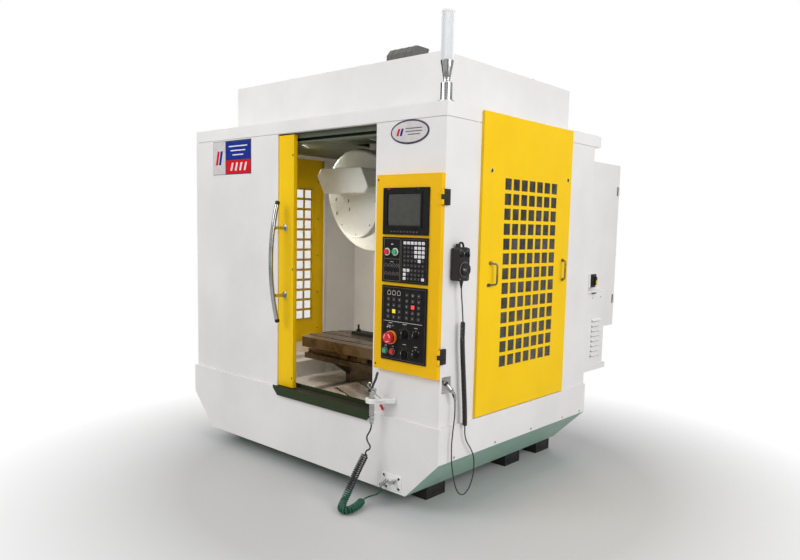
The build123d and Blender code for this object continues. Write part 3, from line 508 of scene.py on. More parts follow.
@dataclass(frozen=True)
class HoseSkin:
    """Glossy hose plastic that changes colour at a height above the floor.

    Attributes:
        name: The material's name.
        colour: The linear colour above.
        low_colour: The linear colour near the floor.
        level: The height of the change, in metres.
        roughness: The mean roughness.
    """

    name: str
    colour: Colour
    low_colour: Colour
    level: float
    roughness: float

    def build(self) -> bpy.types.Material:
        """Builds the material.

        Returns:
            The material.
        """
        graph = Graph(self.name)
        high = graph.ramp(graph.part(graph.place, "Z"), self.level, self.level + 0.03, 0, 1)
        body = graph.blend(high, self.low_colour, self.colour)
        dust = graph.ramp(graph.noise(45, 5, 0.6), 0.5, 0.8, 0, 0.3)
        coat = graph.blend(dust, body, (0.16, 0.17, 0.16))
        marks = graph.ramp(graph.noise(70, 4), 0.3, 0.7, self.roughness, self.roughness + 0.14)
        graph.dress({}, {"Base Color": coat, "Roughness": marks})
        graph.bump(graph.noise(900, 2), 0.06, 0.0002)
        return graph.material


class Finish(Enum):
    """Every finish in the scene, with the recipe that builds it."""

    WHITE = Paint("white_coat", linear(236, 234, 233), 0.42, 0.10, 0.05)
    RIM_WHITE = Paint("rim_white_coat", linear(238, 237, 235), 0.40, 0.10, 0.04)
    YELLOW = Paint("yellow_coat", linear(254, 206, 2), 0.46, 0.12, 0.07, (0.35, 0.22, 0.03), 0.22)
    DOOR_YELLOW = Paint(
        "door_yellow_coat", linear(255, 206, 2), 0.44, 0.12, 0.12, (0.3, 0.18, 0.02), 0.2
    )
    PLATE_YELLOW = Paint(
        "console_yellow_coat", linear(249, 193, 1), 0.44, 0.12, 0.08, (0.3, 0.18, 0.02), 0.2
    )
    GREEN = Paint("pan_green_enamel", linear(150, 184, 168), 0.40, 0.12, 0.16, (0.10, 0.13, 0.11))
    OLIVE = Paint(
        "tray_olive_enamel", linear(46, 58, 33), 0.46, 0.14, 0.35, (0.022, 0.016, 0.011), 0.2, 0.9
    )
    BLACK_PAINT = Paint(
        "foot_black_enamel", linear(28, 29, 28), 0.55, 0.3, 0.5, (0.08, 0.07, 0.06)
    )
    CASTING = Paint(
        "casting_grey_enamel", linear(128, 134, 124), 0.5, 0.35, 0.55, (0.07, 0.06, 0.04)
    )
    MOULDED_WHITE = Paint("turret_white_gelcoat", linear(238, 240, 232), 0.28, 0.05, 0.06)
    PLATE_STEEL = Metal(
        "oily_cover_steel", (0.86, 0.78, 0.68), (0.36, 0.285, 0.20), 0.6, 0.36, (
            1, 9, 9
        ), 0.15, 0.3
    )
    GUARD_STEEL = Metal(
        "stained_guard_sheet", (0.86, 0.83, 0.79), (0.42, 0.35, 0.27), 0.45, 0.40, (
            3, 3, 3
        ), 0.15, 0.25
    )
    TABLE_IRON = Metal(
        "oily_table_iron", (0.235, 0.18, 0.125), (0.095, 0.07, 0.042), 0.6, 0.30, (
            1, 22, 22
        ), 0.2, 0.7
    )
    BRIGHT_STEEL = Metal("ground_steel", (0.62, 0.61, 0.59), (0.2, 0.16, 0.1), 0.15, 0.22)
    CHROME = Metal(
        "bright_chrome", (0.56, 0.57, 0.57), (0.17, 0.175, 0.175), 0.35, 0.14, (3, 3, 7), 0.05
    )
    NICKEL = Metal(
        "dull_nickel", (0.52, 0.51, 0.49), (0.2, 0.19, 0.16), 0.25, 0.27, (2, 2, 12), 0.1
    )
    BRONZE = Metal(
        "aged_handle_plating", (0.34, 0.29, 0.20), (0.11, 0.09, 0.05), 0.4, 0.28, (3, 3, 9), 0.1
    )
    SADDLE_STEEL = Metal(
        "oily_saddle_steel", (0.20, 0.165, 0.125), (0.07, 0.05, 0.032), 0.6, 0.38, (
            1, 6, 6
        ), 0.15, 0.7
    )
    WIPER = Metal("bright_edge_strip", (0.75, 0.70, 0.60), (0.25, 0.18, 0.1), 0.3, 0.3)
    BLACK_PLASTIC = Moulding("black_moulding", linear(26, 26, 27), 0.42, 1500, 0.16)
    PANEL_BLACK = Moulding("panel_black_film", linear(17, 15, 15), 0.5, 2600, 0.06, 0.0, 0.2)
    KEY_BLACK = Moulding("key_black", linear(44, 41, 42), 0.38, 1800, 0.1)
    KEY_WHITE = Moulding("key_white", linear(226, 224, 226), 0.4, 1800, 0.08)
    KEY_GREY = Moulding("key_grey", linear(112, 108, 106), 0.42, 1800, 0.08)
    RED = Moulding("signal_red", linear(214, 40, 44), 0.26, 1200, 0.05)
    LIT_RED = Moulding("lit_red", linear(238, 70, 74), 0.3, 1200, 0.05, 0.5)
    LIT_YELLOW = Moulding("lit_yellow", linear(232, 206, 60), 0.3, 1200, 0.05, 0.4)
    ORANGE = Moulding("ring_orange", linear(240, 150, 62), 0.34, 1200, 0.06)
    BUTTON_GREEN = Moulding("signal_green", linear(66, 166, 112), 0.26, 1200, 0.05)
    HOSE = HoseSkin("hose_two_tone", linear(40, 43, 43), linear(10, 84, 62), 0.085, 0.20)
    CORD = Moulding("cord_black", linear(40, 40, 40), 0.46, 1100, 0.12)
    CURLY = Moulding("curly_cord_black", linear(46, 43, 43), 0.36, 1100, 0.08)
    RUBBER = Moulding("seal_rubber", linear(24, 24, 24), 0.6, 700, 0.2)
    SCREEN = Moulding("dark_display_glass", linear(58, 58, 52), 0.10, 90, 0.02)
    LEGEND = Moulding("legend_ink", linear(196, 190, 182), 0.5, 900, 0.04)
    DIM_LEGEND = Moulding("dim_legend_ink", linear(120, 110, 104), 0.5, 900, 0.04)
    BADGE_BLUE = Moulding("badge_blue", linear(14, 42, 138), 0.34, 900, 0.04, 0.0, 0.12)
    BADGE_RED = Moulding("badge_red", linear(212, 4, 30), 0.34, 900, 0.04, 0.0, 0.12)
    BADGE_FIELD = Moulding("badge_grey_field", linear(206, 202, 202), 0.36, 900, 0.04, 0.0, 0.2)
    BADGE_RIM = Moulding("badge_dark_rim", linear(58, 58, 76), 0.3, 900, 0.04, 0.0, 0.3)
    BADGE_INK = Moulding("badge_grey_ink", linear(108, 104, 106), 0.4, 900, 0.04, 0.0, 0.2)
    SIGNAL_YELLOW = Moulding("switch_yellow", linear(236, 214, 30), 0.36, 1200, 0.06)
    # The duct's dark grey, also used for the painted shadow lines under the cabinet louvres.
    DUCT_GREY = Moulding("duct_and_shadow_grey", linear(92, 92, 88), 0.5, 700, 0.2)
    CEILING = Paint("ceiling_olive_enamel", linear(86, 95, 76), 0.42, 0.2, 0.5, (0.05, 0.05, 0.03))
    PANE = Clear("vent_pane_clear", (0.03, 0.03, 0.026), 0.10, 0.14, 0.10, 0.62)
    WINDOW = Clear("door_window_clear", (0.55, 0.58, 0.56), 0.16, 0.05)
    LENS = Clear("lens_clear", (0.15, 0.148, 0.15), 0.28, 0.10, 0.3)

    def made(self) -> bpy.types.Material:
        """Gives the material, built the first time it is asked for.

        Returns:
            The material.
        """
        found = bpy.data.materials.get(self.value.name)
        return found or self.value.build()


class Shape:
    """Collects mesh parts, drawn in millimetres, into one Blender object in metres."""

    def __init__(self, name: str, finish: Finish) -> None:
        """Starts an empty shape.

        Args:
            name: The object's name.
            finish: The finish of the first parts.
        """
        self.name = name
        self.mesh = bmesh.new()
        self.finishes: list[Finish] = []
        self.use(finish)

    def use(self, finish: Finish) -> Shape:
        """Gives what is drawn next this finish.

        Args:
            finish: The finish.

        Returns:
            The shape itself.
        """
        if finish not in self.finishes:
            self.finishes.append(finish)
        self.index = self.finishes.index(finish)
        return self

    def face(self, corners: list[bmesh.types.BMVert]) -> None:
        """Adds one face, if its corners differ.

        Args:
            corners: Its corners in order.
        """
        if len(set(corners)) > 2:
            made = self.mesh.faces.new(corners)
            made.material_index = self.index

    def rings(self, rings: list[list[Vector]], closed: bool = False, caps: bool = True) -> None:
        """Skins a row of rings with the same number of points.

        Args:
            rings: The rings of points, in millimetres.
            closed: True if the last ring joins the first.
            caps: True to close both ends.
        """
        rows = [[self.mesh.verts.new(p * MM) for p in ring] for ring in rings]
        count = len(rows[0])
        pairs = list(zip(rows, rows[1:]))
        if closed:
            pairs.append((rows[-1], rows[0]))
        for low, high in pairs:
            for i in range(count):
                j = (i + 1) % count
                self.face([low[i], low[j], high[j], high[i]])
        if caps and not closed:
            self.face(list(reversed(rows[0])))
            self.face(rows[-1])

    def block(self, x: Pair, y: Pair, z: Pair, bevel: float = 0.0) -> None:
        """Adds a block with rounded edges.

        Args:
            x: Its range along X.
            y: Its range along Y.
            z: Its range along Z.
            bevel: The edge radius.
        """
        made = bmesh.ops.create_cube(self.mesh, size=1.0)
        verts = made["verts"]
        for vert in verts:
            vert.co = Vector(
                (
                    x[0] if vert.co.x < 0 else x[1], y[0] if vert.co.y < 0 else y[1],
                    z[0] if vert.co.z < 0 else z[1],
                )
            ) * MM
        faces = {f for v in verts for f in v.link_faces}
        for item in faces:
            item.material_index = self.index
        if bevel > 0:
            edges = list({e for v in verts for e in v.link_edges})
            done = bmesh.ops.bevel(
                self.mesh, geom=edges, offset=bevel * MM, segments=2, profile=0.5, affect="EDGES",
            )
            for item in done["faces"]:
                item.material_index = self.index

    def lathe(self, start: Point, axis: Point, profile: list[Pair], sides: int = 32) -> None:
        """Turns a profile about an axis.

        Args:
            start: The point where distances along the axis start.
            axis: The axis direction.
            profile: Pairs of distance along the axis and radius.
            sides: How many sides the turned form has.
        """
        along = Vector(axis).normalized()
        side = along.orthogonal().normalized()
        other = along.cross(side)
        rings = []
        for reach, radius in profile:
            centre = Vector(start) + along * reach
            reach_out = max(radius, 0.01)
            rings.append([centre + (side * c + other * s) * reach_out for c, s in circle(sides)])
        self.rings(rings)

    def rod(self, start: Point, end: Point, radius: float, sides: int = 20) -> None:
        """Adds a round bar.

        Args:
            start: One end.
            end: The other end.
            radius: Its radius.
            sides: How many sides it has.
        """
        run = Vector(end) - Vector(start)
        self.lathe(start, tuple(run), [(0, radius), (run.length, radius)], sides)

    def ring(
        self, start: Point, axis: Point, inner: float, outer: float, depth: float, sides: int = 40
    ) -> None:
        """Adds a flat ring.

        Args:
            start: The centre of its lower side.
            axis: The axis direction.
            inner: The inner radius.
            outer: The outer radius.
            depth: Its depth along the axis.
            sides: How many sides it has.
        """
        along = Vector(axis).normalized()
        side = along.orthogonal().normalized()
        other = along.cross(side)
        rings = []
        base = Vector(start)
        for cosine, sine in circle(sides):
            out = side * cosine + other * sine
            rings.append(
                [
                    base + out * inner, base + out * outer, base + out * outer + along * depth,
                    base + out * inner + along * depth,
                ]
            )
        self.rings(rings, closed=True)

    def prism(self, outline: list[Pair], plane: str, start: float, end: float) -> None:
        """Extrudes an outline along the axis that its plane leaves out.

        Args:
            outline: The outline's points.
            plane: The two axes of the outline, such as "xz".
            start: Where the prism starts on the third axis.
            end: Where it ends.
        """
        third = ({"x", "y", "z"} - set(plane)).pop()

        def lift(level: float) -> list[Vector]:
            """Places the outline at a level.

            Args:
                level: The place on the third axis.

            Returns:
                The points.
            """
            points = []
            for first, second in outline:
                place = {plane[0]: first, plane[1]: second, third: level}
                points.append(Vector((place["x"], place["y"], place["z"])))
            return points

        self.rings([lift(start), lift(end)])

    def tube(self, points: list[Point], radius: float, sides: int = 12) -> None:
        """Sweeps a round section along points.

        Args:
            points: The points of the centre line.
            radius: The radius.
            sides: How many sides it has.
        """
        path = [Vector(p) for p in points]
        rings = []
        normal = (path[1] - path[0]).orthogonal().normalized()
        for i, here in enumerate(path):
            ahead = path[min(i + 1, len(path) - 1)] - path[max(i - 1, 0)]
            ahead.normalize()
            normal = (normal - ahead * normal.dot(ahead)).normalized()
            other = ahead.cross(normal)
            rings.append([here + (normal * c + other * s) * radius for c, s in circle(sides)])
        self.rings(rings)

    def curve_tube(self, points: list[Point], radius: float, sides: int = 12) -> None:
        """Sweeps a round section along a smooth line near the points.

        Args:
            points: The control points.
            radius: The radius.
            sides: How many sides it has.
        """
        self.tube([tuple(p) for p in smooth_line([Vector(p) for p in points], 8)], radius, sides)

    def screw(self, place: Point, axis: Point, radius: float = 4.0, height: float = 2.4) -> None:
        """Adds a socket button screw.

        Args:
            place: The centre of its seat.
            axis: The way it faces.
            radius: The head's radius.
            height: The head's height.
        """
        profile = [
            (0, radius), (height * 0.35, radius), (height * 0.8, radius * 0.82),
            (height, radius * 0.58), (height, radius * 0.42), (height * 0.45, radius * 0.38),
        ]
        self.lathe(place, axis, profile, 16)

    def done(self, slot: str, body: str = "machine", smooth: float = 32.0) -> None:
        """Makes the object and fixes it to a body.

        Args:
            slot: The record's material slot; not used.
            body: The body that it rides on.
            smooth: Edges sharper than this angle in degrees stay sharp.
        """
        bmesh.ops.recalc_face_normals(self.mesh, faces=self.mesh.faces)
        data = bpy.data.meshes.new(self.name)
        self.mesh.to_mesh(data)
        self.mesh.free()
        for finish in self.finishes:
            data.materials.append(finish.made())
        data.shade_smooth()
        data.set_sharp_from_angle(angle=math.radians(smooth))
        piece = placed(self.name, data)
        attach(piece, body)
        LOG.info("piece %s: %d faces on %s", self.name, len(data.polygons), body)


def spline_curve(name: str, points: list[Vector], resolution: int) -> bpy.types.Curve:
    """Makes a curve of one open smooth spline with these control points.

    Args:
        name: The curve's name.
        points: The control points.
        resolution: Segments for each point.

    Returns:
        The curve.
    """
    data = bpy.data.curves.new(name, "CURVE")
    data.dimensions = "3D"
    data.resolution_u = resolution
    spline = data.splines.new("NURBS")
    spline.points.add(len(points) - 1)
    for place, point in zip(spline.points, points):
        place.co = (*point, 1.0)
    spline.order_u = 3
    spline.use_endpoint_u = True
    return data


def smooth_line(points: list[Vector], resolution: int) -> list[Vector]:
    """Reads the points of a smooth spline with these control points.

    Args:
        points: The control points.
        resolution: Segments for each point.

    Returns:
        The points along the line.
    """
    data = spline_curve("route_line", points, resolution)
    holder = bpy.data.objects.new("route_line", data)
    line = bpy.data.meshes.new_from_object(holder)
    found = [v.co.copy() for v in line.vertices]
    bpy.data.objects.remove(holder)
    bpy.data.curves.remove(data)
    bpy.data.meshes.remove(line)
    return found


@dataclass(frozen=True)
class Helix:
    """The turns of a curly cord round the middle of its route.

    Attributes:
        radius: The radius of a turn's middle, in metres.
        pitch: The advance of a turn, in metres.
        per_turn: Points for each turn.
    """

    radius: float
    pitch: float
    per_turn: int = 13

    def wound(self, route: list[Vector]) -> list[Vector]:
        """Winds turns round a route.

        Args:
            route: The points of the route, in metres.

        Returns:
            The points of the turns.
        """
        reaches = [0.0]
        for low, high in zip(route, route[1:]):
            reaches.append(reaches[-1] + (high - low).length)
        turns = max(1, round(reaches[-1] / self.pitch))
        steps = turns * self.per_turn
        points = []
        normal = Vector(TO_BACK)
        index = 0
        for step in range(steps + 1):
            reach = reaches[-1] * step / steps
            while index < len(route) - 2 and reaches[index + 1] < reach:
                index += 1
            run = route[index + 1] - route[index]
            here = route[index] + run * ((reach - reaches[index]) / max(run.length, 1e-9))
            ahead = run.normalized()
            normal = (normal - ahead * normal.dot(ahead)).normalized()
            other = ahead.cross(normal)
            angle = math.tau * step / self.per_turn
            ease = min(1.0, step / self.per_turn, (steps - step) / self.per_turn)
            grip = self.radius * (0.12 + 0.88 * ease * ease * (3 - 2 * ease))
            points.append(here + (normal * math.cos(angle) + other * math.sin(angle)) * grip)
        return points


def line_length(points: list[Vector]) -> float:
    """Adds up the runs between points.

    Args:
        points: The points.

    Returns:
        The length.
    """
    return sum((high - low).length for low, high in zip(points, points[1:]))


@dataclass
class CurlyCord:
    """A free cord that is plain at its ends and curled between them.

    Attributes:
        name: The piece's name.
        first: Control points before the turns, in metres.
        curl: Control points of the curled stretch's middle, in metres.
        last: Control points after the turns, in metres.
        helix: The turns.
        diameter: The cord's own diameter.
        finish: The finish.
        slot: The record's material slot; not used.
        covers: The CAD nodes that it stands for.
        far_end: What is on its far end; not used.
        pieces: The nodes of the pieces on it; not used.
    """

    name: str
    first: list[Point]
    curl: list[Point]
    last: list[Point]
    helix: Helix
    diameter: float
    finish: Finish
    slot: str
    covers: tuple[str, ...]
    far_end: str
    pieces: tuple[str, ...] = ()

    def build(self) -> bpy.types.Object:
        """Returns:
            The cord's curve object.
        """
        middle = smooth_line([Vector(p) for p in self.curl], 10)
        turns = self.helix.wound(middle)
        route = [Vector(p) for p in self.first[:-1]] + turns + [Vector(p) for p in self.last[1:]]
        data = spline_curve(self.name, route, 3)
        data.materials.append(self.finish.made())
        cord = placed(self.name, data)
        length = line_length(smooth_line(route, 6))
        data.bevel_depth = self.diameter / 2
        data.bevel_resolution = 3
        data.use_fill_caps = True
        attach(cord, "machine")
        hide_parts(*self.covers)
        LOG.info("cord %s: %.3f m", self.name, length)
        return cord


@dataclass
class Studio:
    """The camera of the photograph, the soft light and the pale floor.

    Attributes:
        place: The camera's place in metres.
        yaw: Its turn from +Y towards -X, in degrees.
        pitch: Its tilt down, in degrees.
        roll: Its roll, in degrees.
        focal: The focal length in pixels of an 800 wide frame.
        shift: The shift along both axes.
        sky: The strength of the light from all round.
        floor_grey: The floor's linear colour, a grey that paints shade near the machine.
        floor_middle: The middle of that painted grey; it sits to the right front, so the glow
            lightens the cast shadow on the left more.
        floor_fade: Where the floor starts and ends to fade, in metres from that middle.
    """

    place: Point = (3.0669, -3.3182, 1.4177)
    yaw: float = 41.37
    pitch: float = 6.0
    roll: float = 1.357
    focal: float = 697.2
    shift: Pair = (-0.015, 0.025)
    sky: float = 0.50
    floor_grey: Colour = (0.54, 0.54, 0.54)
    floor_middle: Point = (0.5, -0.3, 0)
    floor_fade: Pair = (1.3, 2.5)

    def camera(self) -> None:
        """Sets the camera up."""
        yaw, pitch, roll = (math.radians(a) for a in (self.yaw, self.pitch, self.roll))
        ahead = Vector(
            (-math.sin(yaw) * math.cos(pitch), math.cos(yaw) * math.cos(pitch), -math.sin(pitch))
        )
        right = Vector((math.cos(yaw), math.sin(yaw), 0))
        up = right.cross(ahead)
        turned = right * math.cos(roll) + up * math.sin(roll)
        raised = up * math.cos(roll) - right * math.sin(roll)
        turn = Matrix((turned, raised, -ahead)).transposed()
        data = bpy.data.cameras.new("camera")
        data.sensor_width = FILM_WIDTH
        data.lens = self.focal / FRAME_WIDTH * FILM_WIDTH
        data.shift_x, data.shift_y = self.shift
        camera = placed("camera", data)
        camera.matrix_world = Matrix.Translation(self.place) @ turn.to_4x4()
        bpy.context.scene.camera = camera

    def world(self) -> None:
        """Lights from all round, shows white behind and hangs cards for the chrome to reflect."""
        world = bpy.data.worlds.new("studio")
        world.use_nodes = True
        world.node_tree.nodes.clear()
        nodes = Nodes(world.node_tree)
        path = nodes.add("LightPath").outputs
        seen = nodes.combine("MAXIMUM", path["Is Camera Ray"], path["Is Transmission Ray"])
        strength = nodes.ramp(seen, 0, 1, self.sky, 1)
        around = nodes.add("TexCoord").outputs["Generated"]
        bands = nodes.add("TexWave", {"Scale": 0.75, "Phase Offset": 1.2}, {"Vector": around})
        bands.bands_direction = "X"
        cards = nodes.ramp(bands.outputs["Fac"], 0.25, 0.7, 0.06, 1.0)
        both = nodes.add("Mix", links={0: path["Is Glossy Ray"], 2: strength, 3: cards})
        back = nodes.add("Background", {"Color": (1, 1, 1, 1)}, {"Strength": both.outputs[0]})
        nodes.add("OutputWorld", links={"Surface": back.outputs[0]})
        bpy.context.scene.world = world

    def floor(self) -> None:
        """Lays the floor, grey near the machine as painted shade, which fades into the white
        behind.
        """
        graph = Graph("studio_floor")
        graph.dress({"Base Color": (*self.floor_grey, 1), "Roughness": 0.8}, {})
        # Painted light: as the camera sees it, a glow lifts the floor to white away from the
        # middle, over the cast shadow too.
        glow = graph.add("Emission", {"Strength": 1.0}).outputs[0]
        moved = graph.add("VectorMath", links={0: graph.place})
        moved.operation = "SUBTRACT"
        moved.inputs[1].default_value = self.floor_middle
        reach = graph.add("VectorMath", links={0: moved.outputs["Vector"]})
        reach.operation = "LENGTH"
        fade = graph.ramp(reach.outputs["Value"], *self.floor_fade, 0.0, 1.0)
        seen = graph.combine("MULTIPLY", fade, graph.add("LightPath").outputs["Is Camera Ray"])
        mix = graph.add("MixShader", links={0: seen, 1: graph.shader.outputs[0], 2: glow})
        graph.join(mix.outputs[0], graph.tree.nodes["Material Output"].inputs["Surface"])
        mesh = bmesh.new()
        bmesh.ops.create_circle(mesh, cap_ends=True, radius=14.0, segments=96)
        data = bpy.data.meshes.new("studio_floor")
        mesh.to_mesh(data)
        mesh.free()
        data.materials.append(graph.material)
        floor = placed("studio_floor", data)
        floor.location = (0, 0, -0.001)

    def build(self) -> None:
        """Sets up the whole studio."""
        scene = bpy.context.scene
        scene.view_settings.view_transform = "Standard"
        self.camera()
        self.world()
        self.floor()
        area_light("key_lamp", (-1.5, -5.5, 4.6), (0, -0.4, 1.1), 3.6, 158)
        area_light("side_lamp", (5.6, -0.6, 3.4), (0.4, 0, 1.1), 3.2, 138)
        area_light("top_lamp", (0, 0.4, 6.2), (0, 0, 1.5), 4.0, 70)
        area_light("back_lamp", (-3.5, 4.8, 3.2), (0, 0.3, 1.2), 3.0, 60)
        LOG.info("studio is set")


@dataclass(frozen=True)
class CastNodes:
    """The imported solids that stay, with the finish that each one wears.

    Attributes:
        worn: Each finish and the names of its nodes.
    """

    worn: tuple[tuple[Finish, str], ...] = (
        (
            Finish.WHITE,
            "base_skirt cabin_shell top_hood left_front_panel right_front_panel "
            "cabinet_shell cabinet_door",
        ),
        (Finish.RIM_WHITE, "roof_rim"),
        (Finish.YELLOW, "vent_panels"),
        (Finish.DOOR_YELLOW, "sliding_door"),
        (Finish.PLATE_YELLOW, "control_plate"),
        (Finish.GREEN, "sump_pan"),
        (Finish.CEILING, "ceiling_guard"),
        (Finish.OLIVE, "sill_tray"),
        (Finish.BLACK_PAINT, "levelling_feet fixture_plate"),
        (Finish.CASTING, "machine_bed column head_casting turret_arm"),
        (Finish.SADDLE_STEEL, "saddle"),
        (Finish.MOULDED_WHITE, "turret_cover"),
        (Finish.PLATE_STEEL, "saddle_cover cover_outer cover_middle cover_inner"),
        (Finish.GUARD_STEEL, "chip_guards"),
        (Finish.TABLE_IRON, "table"),
        (Finish.BRIGHT_STEEL, "spindle turret_drum"),
        (Finish.CHROME, "door_handle toggle_switch air_gun gun_lever"),
        (Finish.BRONZE, "pull_handles"),
        (Finish.NICKEL, "air_inlet pendant_plug"),
        (Finish.PANE, "vent_panes"),
        (Finish.WINDOW, "door_window"),
        (
            Finish.BLACK_PLASTIC,
            "panel_hinges mode_knob feed_knob selector_upper selector_lower pendant_body "
            "pendant_wheel pendant_axis_knob pendant_step_knob main_switch",
        ),
        (Finish.PANEL_BLACK, "console_units"),
        (Finish.RED, "estop_button feed_hold_button power_off_button"),
        (Finish.BUTTON_GREEN, "cycle_start_button power_on_button"),
        (Finish.LENS, "tower_light"),
    )

    def build(self) -> None:
        """Puts each finish on its nodes."""
        for finish, names in self.worn:
            for name in names.split():
                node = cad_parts[name]
                slots = node.material_slots
                if not slots:
                    node.data.materials.append(finish.made())
                for place in slots:
                    place.material = finish.made()
            LOG.info("%s is on %s", finish.value.name, names)


class Glyph(Enum):
    """Plain generic signs for keys: bars, arrows, dots and open squares."""

    BAR = 0
    UP = 1
    DOWN = 2
    LEFT = 3
    RIGHT = 4
    DOT = 5
    SQUARE = 6
    PAIR = 7


class Fascia(Shape):
    """A shape with calls for what lies flat on a front that faces -Y."""

    def tile(
        self, x: float, z: float, width: float, height: float, front: float, depth: float,
        bevel: float = 0.0,
    ) -> None:
        """Adds a tile whose back lies on the front.

        Args:
            x: Its middle along X.
            z: Its middle along Z.
            width: Its width.
            height: Its height.
            front: The Y that its back lies on.
            depth: How far it stands out.
            bevel: Its edge radius.
        """
        self.block(
            (x - width / 2, x + width / 2), (front - depth, front),
            (z - height / 2, z + height / 2), bevel,
        )

    def frame(self, x: Pair, z: Pair, width: float, front: float, depth: float) -> None:
        """Adds a rectangular frame as one ring.

        Args:
            x: Its outer range along X.
            z: Its outer range along Z.
            width: The width of its bars.
            front: The Y that its back lies on.
            depth: How far it stands out.
        """
        rings = []
        for side_x, side_z, step_x, step_z in (
            (x[0], z[0], 1, 1), (x[1], z[0], -1, 1), (x[1], z[1], -1, -1), (x[0], z[1], 1, -1),
        ):
            inner = (side_x + step_x * width, side_z + step_z * width)
            rings.append(
                [
                    Vector((side_x, front, side_z)), Vector((inner[0], front, inner[1])),
                    Vector((inner[0], front - depth, inner[1])),
                    Vector((side_x, front - depth, side_z)),
                ]
            )
        self.rings(rings, closed=True)

    def sign(self, glyph: Glyph, x: float, z: float, size: float, front: float) -> None:
        """Prints a generic sign.

        Args:
            glyph: The sign.
            x: Its middle along X.
            z: Its middle along Z.
            size: Its size.
            front: The Y of the surface it lies on.
        """
        half = size / 2
        if glyph is Glyph.BAR:
            self.tile(x, z, size, size * 0.24, front, INK)
        elif glyph is Glyph.PAIR:
            self.tile(x, z + size * 0.22, size, size * 0.2, front, INK)
            self.tile(x, z - size * 0.22, size * 0.66, size * 0.2, front, INK)
        elif glyph is Glyph.SQUARE:
            self.frame((x - half, x + half), (z - half, z + half), size * 0.18, front, INK)
        elif glyph is Glyph.DOT:
            self.lathe((x, front, z), TO_FRONT, [(0, half * 0.6), (INK, half * 0.6)], 12)
        else:
            turn = {Glyph.UP: 0, Glyph.LEFT: 1, Glyph.DOWN: 2, Glyph.RIGHT: 3}[glyph]
            angle = turn * math.pi / 2
            outline = []
            for first, second in (
                (0, half), (-half * 0.8, -half * 0.7), (half * 0.8, -half * 0.7)
            ):
                outline.append(
                    (
                        x + first * math.cos(angle) - second * math.sin(angle),
                        z + first * math.sin(angle) + second * math.cos(angle),
                    )
                )
            self.prism(outline, "xz", front - INK, front)

    def arc(
        self, x: float, z: float, radius: float, width: float, span: Pair, front: float,
    ) -> None:
        """Prints an arc.

        Args:
            x: Its middle along X.
            z: Its middle along Z.
            radius: The middle of its line.
            width: The width of its line.
            span: Its first and last angle from the top, clockwise, in degrees.
            front: The Y of the surface it lies on.
        """
        steps = max(6, int(abs(span[1] - span[0]) / 8))
        rings = []
        for i in range(steps + 1):
            angle = math.radians(span[0] + (span[1] - span[0]) * i / steps)
            way = Vector((math.sin(angle), 0, math.cos(angle)))
            centre = Vector((x, front, z))
            low, high = centre + way * (radius - width / 2), centre + way * (radius + width / 2)
            ink = Vector((0, INK, 0))
            rings.append([low, high, high - ink, low - ink])
        self.rings(rings)

    def slant(self, left: float, width: float, lean: float, z: Pair, front: float) -> None:
        """Prints a slanted bar.

        Args:
            left: The X of its lower left corner.
            width: Its width.
            lean: How far its top leans to the right.
            z: Its range along Z.
            front: The Y of the surface it lies on.
        """
        foot = [(left, z[0]), (left + width, z[0])]
        head = [(left + lean + width, z[1]), (left + lean, z[1])]
        self.prism(foot + head, "xz", front - 0.3, front)

    def dial(
        self, x: float, z: float, radius: float, marks: int, span: float, front: float
    ) -> None:
        """Prints the marks round a knob.

        Args:
            x: The knob's middle along X.
            z: The knob's middle along Z.
            radius: The radius of the marks.
            marks: How many marks there are.
            span: The angle that they cover, in degrees.
            front: The Y of the surface.
        """
        for i in range(marks):
            degrees = -span / 2 + span * i / (marks - 1)
            angle = math.radians(degrees)
            place = (x + radius * math.sin(angle), z + radius * math.cos(angle))
            if i % 3 == 0:
                self.sign(Glyph.PAIR, place[0], place[1], 5.4, front)
            else:
                self.sign(Glyph.DOT, place[0], place[1], 3.4, front)


